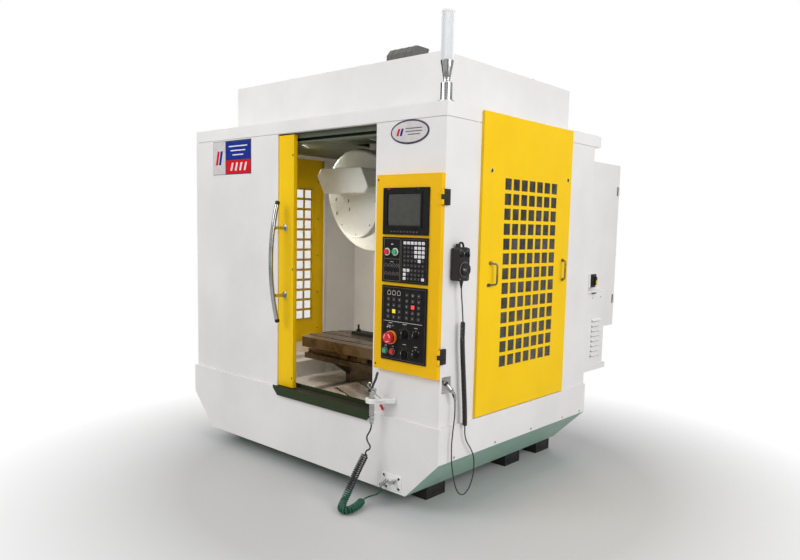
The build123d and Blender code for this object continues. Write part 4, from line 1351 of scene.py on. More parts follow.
@dataclass
class Console:
    """The control panel's bezels, keys, legends, dials, rings and screws.

    Attributes:
        front: The Y of the units' fronts.
        plate: The Y of the yellow plate's front.
        screen_x: The range of the screen recess along X.
        screen_z: The range of the screen recess along Z.
        screen_back: The Y of the recess's floor.
        key_pitch: The pitch of the keyboard's columns.
        stop: The stop button's place along X and Z.
        mode: The mode knob's place along X and Z.
        feed: The feed knob's place along X and Z.
        selectors: The two selectors' places along X and Z.
        toggle: The toggle switch's place along X and Z.
    """

    front: float = -836.5
    plate: float = -830.5
    screen_x: Pair = (710, 922)
    screen_z: Pair = (1419, 1575)
    screen_back: float = -833.5
    key_pitch: float = 23.2
    stop: Pair = (754, 875)
    mode: Pair = (838, 899)
    feed: Pair = (838, 801)
    selectors: tuple[Pair, Pair] = ((910, 898), (911, 807))
    toggle: Pair = (744, 928)

    def bezels(self) -> None:
        """Builds the raised rims of the three units."""
        rim = Fascia("console_bezels", Finish.PANEL_BLACK)
        for x, z in (
            ((680, 972), (1378, 1602)), ((681, 973), (1146, 1366)), ((684, 973), (762, 1130)),
        ):
            rim.frame(x, z, 5.0, self.front, 1.6)
            rim.frame((x[0] + 6.5, x[1] - 6.5), (z[0] + 6.5, z[1] - 6.5), 0.9, self.front, 0.5)
        rim.frame((702, 930), (1411, 1583), 8.0, self.front, 3.2)
        rim.frame((696, 936), (1405, 1589), 3.0, self.front, 1.2)
        rim.done("black_plastic", "console")
        trim = Fascia("console_trim_lines", Finish.DIM_LEGEND)
        trim.frame((691, 799), (1153, 1358), 1.6, self.front, 1.0)
        trim.tile(745, 1260, 105, 1.6, self.front, 1.0)
        trim.frame((806, 966), (1153, 1358), 1.0, self.front, 0.5)
        trim.frame((691, 966), (770, 1122), 1.0, self.front, 0.5)
        trim.done("black_plastic", "console")

    def screen(self) -> None:
        """Builds the dark glass, which bows out slightly, and its inner frame."""
        glass = Fascia("display_glass", Finish.SCREEN)
        x, z = self.screen_x, self.screen_z
        rings = []
        steps = 10
        for i in range(steps + 1):
            share = i / steps
            depth = 0.3 + 1.6 * math.sin(math.pi * (0.06 + 0.88 * share))
            place = z[0] + 4 + (z[1] - z[0] - 8) * share
            rings.append(
                [
                    Vector((x[0] + 4, self.screen_back, place)),
                    Vector((x[1] - 4, self.screen_back, place)),
                    Vector((x[1] - 4, self.screen_back - depth, place)),
                    Vector(((x[0] + x[1]) / 2, self.screen_back - depth - 0.5, place)),
                    Vector((x[0] + 4, self.screen_back - depth, place)),
                ]
            )
        glass.rings(rings)
        glass.use(Finish.RUBBER).frame(
            (x[0] + 0.5, x[1] - 0.5), (z[0] + 0.5, z[1] - 0.5), 4.0, self.screen_back, 1.6
        )
        glass.done("black_plastic", "console")
        soft = Fascia("display_soft_keys", Finish.KEY_BLACK)
        for i in range(9):
            soft.tile(738 + i * 20.5, 1392, 15, 8.5, self.front, 1.6, 0.5)
        soft.use(Finish.LEGEND)
        for i in range(9):
            glyph = (Glyph.LEFT, Glyph.BAR, Glyph.SQUARE)[min(i, 1) if i < 8 else 0]
            soft.sign(
                Glyph.RIGHT if i == 8 else glyph, 738 + i * 20.5, 1392, 3.4, self.front - 1.6
            )
        soft.use(Finish.LIT_RED).tile(716, 1596, 13, 2.4, self.front, 0.6, 0.2)
        soft.use(Finish.LEGEND).tile(906, 1596, 5.0, 2.6, self.front, 0.6, 0.2)
        soft.done("black_plastic", "console")

    def keyboard(self) -> None:
        """Builds the keyboard with its pale and dark keys."""
        keys = Fascia("keyboard_keys", Finish.KEY_WHITE)
        rows = (1340, 1317, 1297, 1277, 1256, 1233, 1210, 1190, 1170)
        pale = {(0, c) for c in range(6)} | {(r, c) for r in (1, 2, 3) for c in (3, 4, 5)}
        pale |= {(4, 4), (6, 0), (6, 1), (7, 0), (8, 0), (8, 5)}
        signs = (Glyph.BAR, Glyph.UP, Glyph.PAIR, Glyph.LEFT, Glyph.SQUARE, Glyph.RIGHT, Glyph.DOT)
        for finish, wanted in ((Finish.KEY_WHITE, True), (Finish.KEY_BLACK, False)):
            keys.use(finish)
            for row, z in enumerate(rows):
                for column in range(6):
                    if ((row, column) in pale) is wanted:
                        x = 829 + column * self.key_pitch
                        keys.tile(x, z, 17.5, 14.5, self.front, 2.2, 1.0)
        for finish, wanted in ((Finish.KEY_GREY, True), (Finish.LEGEND, False)):
            keys.use(finish)
            for row, z in enumerate(rows):
                for column in range(6):
                    if ((row, column) in pale) is wanted:
                        x = 829 + column * self.key_pitch
                        sign = signs[(row * 5 + column * 3) % len(signs)]
                        keys.sign(sign, x, z, 4.2, self.front - 2.2)
        keys.done("black_plastic", "console")
        plain = Fascia("switch_field_signs", Finish.DIM_LEGEND)
        for z, radius in ((1227, 9.5), (1187, 9.0)):
            for i in range(4):
                x = 706 + i * 25.5
                plain.arc(x, z, radius, 1.6, (-150, 150), self.front)
                plain.tile(x, z, 2.0, 7.0, self.front, 0.25)
            for i in range(3):
                plain.tile(719 + i * 25.5, z, 6, 1.6, self.front, 0.25)
        plain.use(Finish.LEGEND)
        plain.tile(745, 1331, 14, 5, self.front, 0.3)
        plain.tile(745, 1246, 20, 2.4, self.front, 0.3)
        plain.done("black_plastic", "console")

    def collars(self) -> None:
        """Builds the rings round the five push buttons."""
        rings = Fascia("button_collars", Finish.KEY_GREY)
        for x, z in ((716, 806), (763, 806)):
            rings.ring((x, self.front - 3.0, z), TO_FRONT, 13.2, 17.6, 3.2, 36)
        rings.use(Finish.LENS)
        for x, z in ((717, 1294), (770, 1295)):
            rings.ring((x, self.front - 3.0, z), TO_FRONT, 14.0, 18.5, 4.6, 36)
        rings.use(Finish.ORANGE)
        x, z = self.stop
        rings.ring((x, self.front - 8.0, z), TO_FRONT, 28.6, 33.5, 3.4, 48)
        rings.ring((x, self.front, z), TO_FRONT, 30.0, 33.5, 8.0, 48)
        rings.done("black_plastic", "console")
        cap = Shape("stop_button_arrows", Finish.KEY_WHITE)
        for turn in (20, 140, 260):
            points = []
            for i in range(9):
                angle = math.radians(turn + i * 8)
                points.append((x + 19 * math.sin(angle), -872.7, z + 19 * math.cos(angle)))
            cap.tube(points, 1.7, 6)
        cap.done("red_plastic", "estop")

    def operator_keys(self) -> None:
        """Builds the operator unit's keys, windows, lines and dials."""
        keys = Fascia("operator_keys", Finish.KEY_BLACK)
        left = [(728 + c * 36.5, z) for z in (1063, 1034, 1005, 977) for c in range(3)]
        right = [(849 + c * 38, z) for z in (1090, 1062, 1034, 1006, 979) for c in range(3)]
        lit = {(764.5, 1005): Finish.LIT_YELLOW, (887, 1034): Finish.LIT_RED}
        for x, z in left + right:
            keys.use(lit.get((x, z), Finish.KEY_BLACK))
            keys.tile(x, z, 21, 19, self.front, 1.5, 0.8)
        keys.use(Finish.LEGEND)
        signs = (
            Glyph.PAIR, Glyph.BAR, Glyph.LEFT, Glyph.UP, Glyph.SQUARE, Glyph.RIGHT, Glyph.DOWN
        )
        for count, (x, z) in enumerate(left + right):
            if (x, z) not in lit:
                keys.sign(signs[(count * 3) % 7], x, z, 7.2, self.front - 1.5)
        for i in range(3):
            x = 731 + i * 32
            outline = ((-10, -12), (10, -12), (12, 4), (0, 13), (-12, 4))
            inner = tuple((a * 0.82, b * 0.82) for a, b in outline)
            for k in range(5):
                j = (k + 1) % 5
                quad = [outline[k], outline[j], inner[j], inner[k]]
                keys.prism(
                    [(x + a, 1096 + b) for a, b in quad], "xz", self.front - 0.3, self.front
                )
        keys.use(Finish.KEY_WHITE).tile(823, 955, 250, 1.6, self.front, 0.4)
        keys.done("black_plastic", "console")
        dials = Fascia("dial_marks", Finish.DIM_LEGEND)
        dials.arc(*self.mode, 27.0, 1.0, (-125, 125), self.front)
        dials.dial(*self.mode, 36.0, 13, 240, self.front)
        dials.arc(*self.feed, 25.0, 1.0, (-140, 140), self.front)
        dials.dial(*self.feed, 36.0, 17, 280, self.front)
        dials.use(Finish.LEGEND)
        for x, z in self.selectors:
            for turn in (-45, 0, 45):
                angle = math.radians(turn)
                dials.sign(
                    Glyph.PAIR, x + 25 * math.sin(angle), z + 25 * math.cos(angle), 6.5, self.front
                )
            dials.tile(x, z + 38, 20, 3.0, self.front, 0.3)
        for x, z, width in (
            (838, 947, 28), (838, 849, 22), (744, 946, 24), (716, 831, 14), (763, 831, 14)
        ):
            dials.tile(x, z, width, 2.6, self.front, 0.3)
        for x in (728, 760):
            dials.sign(Glyph.SQUARE, x, 933, 6, self.front)
        dials.done("black_plastic", "console")

    def knobs(self) -> None:
        """Builds the grips and pointers that turn with the knobs."""
        radius, reach = 18, -858.8
        for name, body, (x, z) in (
            ("mode_knob_grip", "mode", self.mode), ("feed_knob_grip", "feed", self.feed),
        ):
            grip = Shape(name, Finish.BLACK_PLASTIC)
            for cosine, sine in circle(24):
                x0, z0 = x + radius * cosine, z + radius * sine
                grip.rod((x0, reach + 2, z0), (x0, -839, z0), 1.1, 6)
            grip.block((x - 4.2, x + 4.2), (reach - 3.2, reach + 1), (z - 16, z + 16), 1.4)
            grip.use(Finish.LEGEND).block(
                (x - 0.9, x + 0.9), (reach - 3.5, reach - 3.0), (z + 4, z + 15)
            )
            grip.done("black_plastic", body)
        for body, (x, z) in zip(("upper", "lower"), self.selectors):
            lever = Shape(body + "_selector_lever", Finish.BLACK_PLASTIC)
            lever.block((x - 4.5, x + 4.5), (-861.5, -853.5), (z - 11.5, z + 14), 2.0)
            lever.use(Finish.LEGEND).block((x - 0.9, x + 0.9), (-861.8, -861.3), (z + 2, z + 12))
            lever.done("black_plastic", body)
        x, z = self.toggle
        ball = Shape("toggle_ball", Finish.CHROME)
        ball.lathe(
            (x, -849.5, z), TO_FRONT,
            [(0, 2.4), (3, 2.9), (6, 3.9), (8.5, 4.3), (10.5, 3.4), (11.6, 1.6)], 18,
        )
        ball.done("chrome", "toggle")
        nut = Shape("toggle_nut", Finish.NICKEL)
        nut.lathe((x, self.front, z), TO_FRONT, [(0, 8.4), (3.4, 8.4), (4.0, 7.6)], 6)
        nut.ring((x, self.front - 4, z), TO_FRONT, 4.4, 6.4, 2.0, 20)
        nut.done("chrome", "console")

    def screws(self) -> None:
        """Builds the plate's corner screws and its return edges."""
        heads = Shape("plate_screws", Finish.BLACK_PAINT)
        for x, z in ((640, 729), (640, 1642)):
            heads.screw((x, self.plate, z), TO_FRONT, 4.6, 2.6)
        heads.done("black_plastic", "console")
        edge = Shape("plate_return_edges", Finish.YELLOW)
        edge.block((628.5, 1039.5), (self.plate - 0.9, self.plate), (1663, 1666), 0.4)
        edge.block((628.5, 631.5), (self.plate - 0.9, self.plate), (706, 1663), 0.4)
        edge.done("yellow_paint", "console")

    def build(self) -> None:
        """Builds everything on the console."""
        self.bezels()
        self.screen()
        self.keyboard()
        self.collars()
        self.operator_keys()
        self.knobs()
        self.screws()


@dataclass
class Door:
    """The sliding door's seals, edge, screws, window gasket and handle ends.

    Attributes:
        front: The Y of the leaf's front.
        back: The Y of the leaf's back.
        x: The leaf's range along X.
        z: The leaf's range along Z.
        window_x: The window opening along X.
        window_z: The window opening along Z.
        handle_x: The handle's place along X.
    """

    front: float = -798
    back: float = -773
    x: Pair = (-886, -56)
    z: Pair = (473, 1913)
    window_x: Pair = (-780, -200)
    window_z: Pair = (800, 1700)
    handle_x: float = -134

    def edge(self) -> None:
        """Builds the folded nose and its lip on the closing edge."""
        nose = Shape("door_closing_edge", Finish.DOOR_YELLOW)
        edge = self.x[1]
        outline = [
            (edge - 22, self.front - 0.6), (edge - 20, self.front - 2.2),
            (edge - 14, self.front - 2.6),
        ]
        outline += [
            (edge - 5, self.front + 2.6), (edge + 1.4, self.front + 9), (edge + 1.8, -777),
            (edge, -775),
        ]
        outline += [(edge - 0.4, self.front + 8), (edge - 14, self.front - 0.6)]
        nose.prism(outline, "xy", self.z[0] + 4, self.z[1] - 4)
        nose.done("yellow_paint", "door")

    def gasket(self) -> None:
        """Builds the window's rubber gasket on both faces, and its clips."""
        rubber = Fascia("window_gasket", Finish.RUBBER)
        x, z = self.window_x, self.window_z
        rubber.frame((x[0] - 5, x[1] + 5), (z[0] - 5, z[1] + 5), 14, self.front, 0.9)
        rubber.frame((x[0] - 15, x[1] + 15), (z[0] - 15, z[1] + 15), 12, -766.8, 2.4)
        rubber.done("black_plastic", "door")
        clips = Shape("window_clips", Finish.NICKEL)
        for along in range(5):
            place = z[0] + 60 + along * 195
            for side in (x[0] - 8, x[1] + 8):
                clips.block((side - 9, side + 9), (-772.8, -768.2), (place - 13, place + 13), 1.2)
                clips.screw((side, -768.4, place), TO_BACK, 3.6)
        clips.done("bright_steel", "door")

    def screws(self) -> None:
        """Builds the dark screws along the leaf's edge."""
        heads = Shape("door_edge_screws", Finish.BLACK_PAINT)
        for z in (529, 1160, 1800):
            heads.screw((-66, self.front - 0.2, z), TO_FRONT, 6.4, 1.5)
        for x in (-820, -640, -460, -280):
            for z in (500, 1886):
                heads.screw((x, self.back, z), TO_BACK, 4.0, 2.4)
        heads.done("black_plastic", "door")

    def handle(self) -> None:
        """Builds the rosettes, collars and dark end caps of the bow handle."""
        x = self.handle_x
        fittings = Shape("door_handle_fittings", Finish.CHROME)
        for z in (1008, 1393):
            fittings.lathe(
                (x, self.front, z), TO_FRONT, [(0, 21), (2.2, 21), (4.6, 18), (5.2, 15)], 36
            )
            fittings.lathe(
                (x, self.front, z), TO_FRONT, [(5, 10.5), (60, 8.6), (66, 10.4), (70, 10.4)], 28
            )
        fittings.done("chrome", "door")
        caps = Shape("door_handle_end_caps", Finish.BLACK_PLASTIC)
        for z, way in ((859, -1), (1538, 1)):
            caps.lathe(
                (x, -850, z), (0, 0.26, way * 0.96), [(-16, 13.6), (2, 13.6), (5, 11), (6, 6)], 28
            )
        caps.done("black_plastic", "door")

    def build(self) -> None:
        """Builds everything on the door."""
        self.edge()
        self.gasket()
        self.screws()
        self.handle()


@dataclass
class Badges:
    """The two badge places, with a plain design of the builder's own.

    Attributes:
        front: The Y of the panels' fronts.
        plate_x: The rectangular plate along X.
        plate_z: The rectangular plate along Z.
        oval: The oval's middle along X and Z.
        oval_size: Its half width and half height.
    """

    front: float = -805
    plate_x: Pair = (-844, -446)
    plate_z: Pair = (1711, 1916)
    oval: Pair = (815, 1866)
    oval_size: Pair = (122.5, 58)

    def rectangle(self) -> None:
        """Builds the rectangular plate: pale field, blue block, red band."""
        x, z = self.plate_x, self.plate_z
        plate = Fascia("front_badge_plate", Finish.BADGE_RIM)
        middle = ((x[0] + x[1]) / 2, (z[0] + z[1]) / 2)
        plate.tile(*middle, x[1] - x[0], z[1] - z[0], self.front, 1.6, 0.7)
        face = self.front - 1.6
        plate.use(Finish.BADGE_FIELD).tile(x[0] + 68, middle[1], 130, z[1] - z[0] - 5, face, 0.5)
        split = x[0] + 140
        centre, width = (split + x[1] - 6) / 2, x[1] - 6 - split
        plate.use(Finish.BADGE_BLUE).tile(centre, z[1] - 62, width, 108, face, 0.5)
        plate.use(Finish.BADGE_RED).tile(centre, z[0] + 46, width, 80, face, 0.5)
        face -= 0.5
        plate.use(Finish.KEY_WHITE)
        for i in range(3):
            plate.tile(split + 125, z[1] - 36 - i * 26, 190 - i * 40, 7, face, 0.3)
        for i in range(4):
            left = split + 46 + i * 46
            plate.slant(left, 18, 16, (z[0] + 22, z[0] + 70), face)
        for finish, shift in ((Finish.BADGE_RED, 0), (Finish.BADGE_BLUE, 34)):
            left = x[0] + 28 + shift
            plate.use(finish).slant(left, 24, 20, (middle[1] - 42, middle[1] + 42), face)
        plate.done("white_paint")

    def ellipse(self) -> None:
        """Builds the oval badge with its raised rim."""
        badge = Fascia("oval_badge", Finish.BADGE_RIM)
        x, z = self.oval
        half_x, half_z = self.oval_size
        rings = []
        for share, depth in ((1.0, 0.0), (1.0, 2.0), (0.965, 3.2), (0.92, 3.2)):
            wide = half_x - half_z * (1 - share)
            level = self.front - depth
            rings.append(
                [Vector((x + wide * c, level, z + half_z * s * share)) for c, s in circle(56)]
            )
        badge.rings(rings)
        badge.use(Finish.BADGE_FIELD)
        field = []
        for depth in (2.6, 3.6):
            level = self.front - depth
            field.append(
                [
                    Vector((x + (half_x - 9) * c, level, z + (half_z - 9) * s))
                    for c, s in circle(56)
                ]
            )
        badge.rings(field)
        face = self.front - 3.6
        for finish, left in ((Finish.BADGE_RED, x - 84), (Finish.BADGE_BLUE, x - 62)):
            badge.use(finish).slant(left, 14, 12, (z - 17, z + 17), face)
        badge.use(Finish.BADGE_INK)
        for i, width in enumerate((104, 104, 76)):
            badge.tile(x + 28, z + 15 - i * 14, width, 5.0, face, 0.3)
        badge.done("white_paint")

    def build(self) -> None:
        """Builds both badges."""
        self.rectangle()
        self.ellipse()


@dataclass
class Sides:
    """The side panels' latches, handle rosettes and pane frames.

    Attributes:
        face: The X of the trays' outer faces.
        latch_y: The latches' places along Y.
        latch_z: Their height.
        handle_y: The handles' places along Y.
    """

    face: float = 1055
    latch_y: Pair = (-462, 291)
    latch_z: float = 1702
    handle_y: Pair = (-452, 275)

    def build(self) -> None:
        """Builds the small parts of both sides."""
        latches = Shape("side_panel_latches", Finish.NICKEL)
        screws = Shape("side_panel_screws", Finish.BRONZE)
        for side in (-1, 1):
            way = (side, 0, 0)
            for y in self.latch_y:
                z = self.latch_z
                latches.use(Finish.NICKEL)
                latches.lathe((side * self.face, y, z), way, [(0, 11), (1.4, 11), (2.2, 9.6)], 28)
                latches.use(Finish.BLACK_PAINT)
                latches.lathe((side * (self.face + 1.2), y, z), way, [(0, 7.6), (2.2, 7.0)], 24)
                low, high = sorted((side * (self.face + 3), side * (self.face + 4.6)))
                latches.block((low, high), (y - 6, y + 6), (z - 1.2, z + 1.2), 0.4)
            for y in self.handle_y:
                lean = 24 if y < 0 else -24
                for z, shift in ((1135, -0.5), (1246, 0.5)):
                    seat = (side * self.face, y + lean * shift, z)
                    screws.lathe(seat, way, [(0, 9.5), (1.6, 9.5), (2.8, 7.0)], 24)
        latches.done("bright_steel")
        screws.done("chrome")
        rims = Shape("vent_pane_frames", Finish.YELLOW)
        for side in (-1, 1):
            low, high = sorted((side * 1047.5, side * 1049.8))
            for y0, y1, z0, z1 in (
                (-361, -351, 682, 1694), (183, 193, 682, 1694), (-351, 183, 682, 692),
                (-351, 183, 1684, 1694),
            ):
                rims.block((low, high), (y0, y1), (z0, z1), 0.8)
        rims.done("yellow_paint")


@dataclass
class Tower:
    """The signal light: base, neck, cone, ribbed clear lens, lamps and cap.

    Attributes:
        x: Its place along X.
        y: Its place along Y.
        foot: The Z that it stands on.
        lens_radius: The lens's radius.
        lens_sides: The edges of its ribs and grooves.
    """

    x: float = 990
    y: float = -755
    foot: float = 1992
    lens_radius: float = 31
    lens_sides: int = 144

    def build(self) -> None:
        """Builds the light."""
        start = (self.x, self.y, self.foot)
        stem = Shape("signal_light_stem", Finish.CHROME)
        stem.lathe(
            start, UPWARD, [
                (0, 41), (4.5, 41), (6.5, 39), (7.5, 30), (12, 28.6), (86, 28), (91, 24)
            ], 48
        )
        stem.lathe(start, UPWARD, [(90, 19), (95, 16.4), (104, 16.4), (108, 19), (110, 19)], 40)
        for i in range(3):
            angle = math.radians(30 + 120 * i)
            spot = (
                self.x + 34.5 * math.cos(angle), self.y + 34.5 * math.sin(angle), self.foot + 6
            )
            stem.screw(spot, UPWARD, 3.4, 2.4)
        stem.lathe(start, UPWARD, [(109, 17), (116, 19), (180, 30.2), (187, 30.6), (190, 27)], 44)
        stem.done("lens_clear")
        lens = Shape("signal_light_lens", Finish.LENS)
        rings = []
        for z, share in ((188, 0.97), (192, 1.0), (392, 1.0), (400, 0.96), (403, 0.9)):
            ring = []
            for i, (cosine, sine) in enumerate(circle(self.lens_sides)):
                radius = self.lens_radius * share - (1.1 if i % 2 else 0.0)
                ring.append(
                    Vector((self.x + radius * cosine, self.y + radius * sine, self.foot + z))
                )
            rings.append(ring)
        lens.rings(rings)
        lens.done("lens_clear", smooth=12)
        stack = Shape("signal_light_lamps", Finish.KEY_WHITE)
        for i in range(5):
            low = 192 + i * 41
            stack.use(Finish.KEY_WHITE)
            stack.lathe(
                start, UPWARD, [(low, 11), (low + 3, 15), (low + 36, 15), (low + 39, 11)], 36
            )
            stack.use(Finish.NICKEL)
            stack.lathe(start, UPWARD, [(low + 39, 16.5), (low + 41, 16.5)], 36)
        stack.done("lens_clear")
        cap = Shape("signal_light_cap", Finish.RIM_WHITE)
        cap.lathe(
            start, UPWARD, [
                (400, 31), (405, 31), (411, 28.5), (415, 22), (417.4, 12), (418, 1)
            ], 48
        )
        cap.done("lens_clear")
        for name in (
            "signal_light_stem", "signal_light_lens", "signal_light_lamps", "signal_light_cap"
        ):
            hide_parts("tower_light")


@dataclass
class TurretCover:
    """The turret's moulded cover: dish, tongue shield, box front and marks.

    Attributes:
        dish: The dish's middle.
        lean: The dish's lean back, in degrees.
        radius: The dish's radius.
        shield_y: The Y of the shield's front.
        box_y: The Y of the box's front.
        half: The shield's half width.
        low: The Z of the shield's lowest point.
    """

    dish: Point = (0, -308, 1560)
    lean: float = 14.6
    radius: float = 313
    shield_y: float = -369
    box_y: float = -490
    half: float = 198
    low: float = 1340

    def shell(self) -> None:
        """Builds the dish with its rolled rim and the shield in front of it."""
        cover = Shape("turret_moulded_cover", Finish.MOULDED_WHITE)
        back = (0, math.cos(math.radians(self.lean)), math.sin(math.radians(self.lean)))
        r = self.radius
        profile = [
            (6, 20), (0, r * 0.30), (-1.5, r * 0.7), (0.5, r - 16), (4, r - 7), (9, r - 2),
            (16, r), (48, r), (50, r - 1.5), (50, r - 3.5), (18, r - 4), (12, r - 8), (9, r - 20),
            (9, 20),
        ]
        cover.lathe(self.dish, back, profile, 96)
        outline = []
        for i in range(33):
            angle = math.pi * i / 32
            outline.append(
                (
                    self.half * math.cos(angle),
                    self.dish[2] - (self.dish[2] - self.low) * math.sin(angle),
                )
            )
        outline += [
            (-self.half, 1690), (-self.half + 12, 1700), (self.half - 12, 1700), (self.half, 1690)
        ]
        self.slab(cover, outline, self.shield_y, -322, 9)
        cover.done("white_moulding", smooth=40)

    def slab(
        self, shape: Shape, outline: list[Pair], front: float, back: float, ease: float
    ) -> None:
        """Adds a slab with a rounded front edge.

        Args:
            shape: The shape to add it to.
            outline: Its outline along X and Z.
            front: The Y of its front.
            back: The Y of its back.
            ease: The radius of its front edge.
        """
        count = len(outline)
        normals = []
        for i in range(count):
            before, here, after = outline[i - 1], outline[i], outline[(i + 1) % count]
            first = Vector((here[1] - before[1], before[0] - here[0])).normalized()
            second = Vector((after[1] - here[1], here[0] - after[0])).normalized()
            normals.append((first + second).normalized())
        area = sum(
            outline[i - 1][0] * outline[i][1] - outline[i][0] * outline[i - 1][1] for i in range(
                count
            )
        )
        sign = 1 if area > 0 else -1
        rings = []
        for step in range(6):
            angle = math.pi / 2 * step / 5
            inset = ease * (1 - math.sin(angle))
            level = front + ease * (1 - math.cos(angle))
            rings.append(
                [
                    Vector((p[0] - sign * n.x * inset, level, p[1] - sign * n.y * inset))
                    for p, n in zip(outline, normals)
                ]
            )
        rings.append([Vector((p[0], back, p[1])) for p in outline])
        shape.rings(rings)

    def front_box(self) -> None:
        """Builds the box front with its rounded corners."""
        corners = ((-219, 1709), (-157, 1603), (193, 1603), (220, 1638), (161, 1752), (-185, 1752))
        outline = []
        for i, here in enumerate(corners):
            before, after = corners[i - 1], corners[(i + 1) % len(corners)]
            reach = 15
            first = Vector(before) - Vector(here)
            second = Vector(after) - Vector(here)
            low = Vector(here) + first.normalized() * reach
            high = Vector(here) + second.normalized() * reach
            for step in range(5):
                share = step / 4
                point = (
                    low * (1 - share) ** 2
                    + Vector(here) * 2 * share * (1 - share)
                    + high * share**2
                )
                outline.append((point.x, point.y))
        front = Shape("turret_box_front", Finish.MOULDED_WHITE)
        self.slab(front, outline, self.box_y, self.shield_y + 2, 8)
        front.done("white_moulding", smooth=40)

    def marks(self) -> None:
        """Builds the dark slots and the cover's screws."""
        slots = Shape("turret_cover_slots", Finish.RUBBER)
        for x, z in ((-176, 1575), (-66, 1565), (-55, 1514), (-168, 1490)):
            slots.prism(
                [(x - 4, z - 9), (x + 3, z - 11), (x + 6, z + 8), (x - 1, z + 11)], "xz",
                self.shield_y - 0.7, self.shield_y + 1,
            )
        slots.done("black_plastic")
        screws = Shape("turret_cover_screws", Finish.NICKEL)
        for x, z in ((-120, 1420), (120, 1420), (165, 1560), (0, 1362)):
            screws.screw((x, self.shield_y, z), TO_FRONT, 5.5, 3.0)
        screws.done("bright_steel")

    def build(self) -> None:
        """Builds the whole cover."""
        self.shell()
        self.front_box()
        self.marks()
        for name in ("turret_moulded_cover", "turret_box_front", "turret_cover_slots"):
            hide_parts("turret_cover")


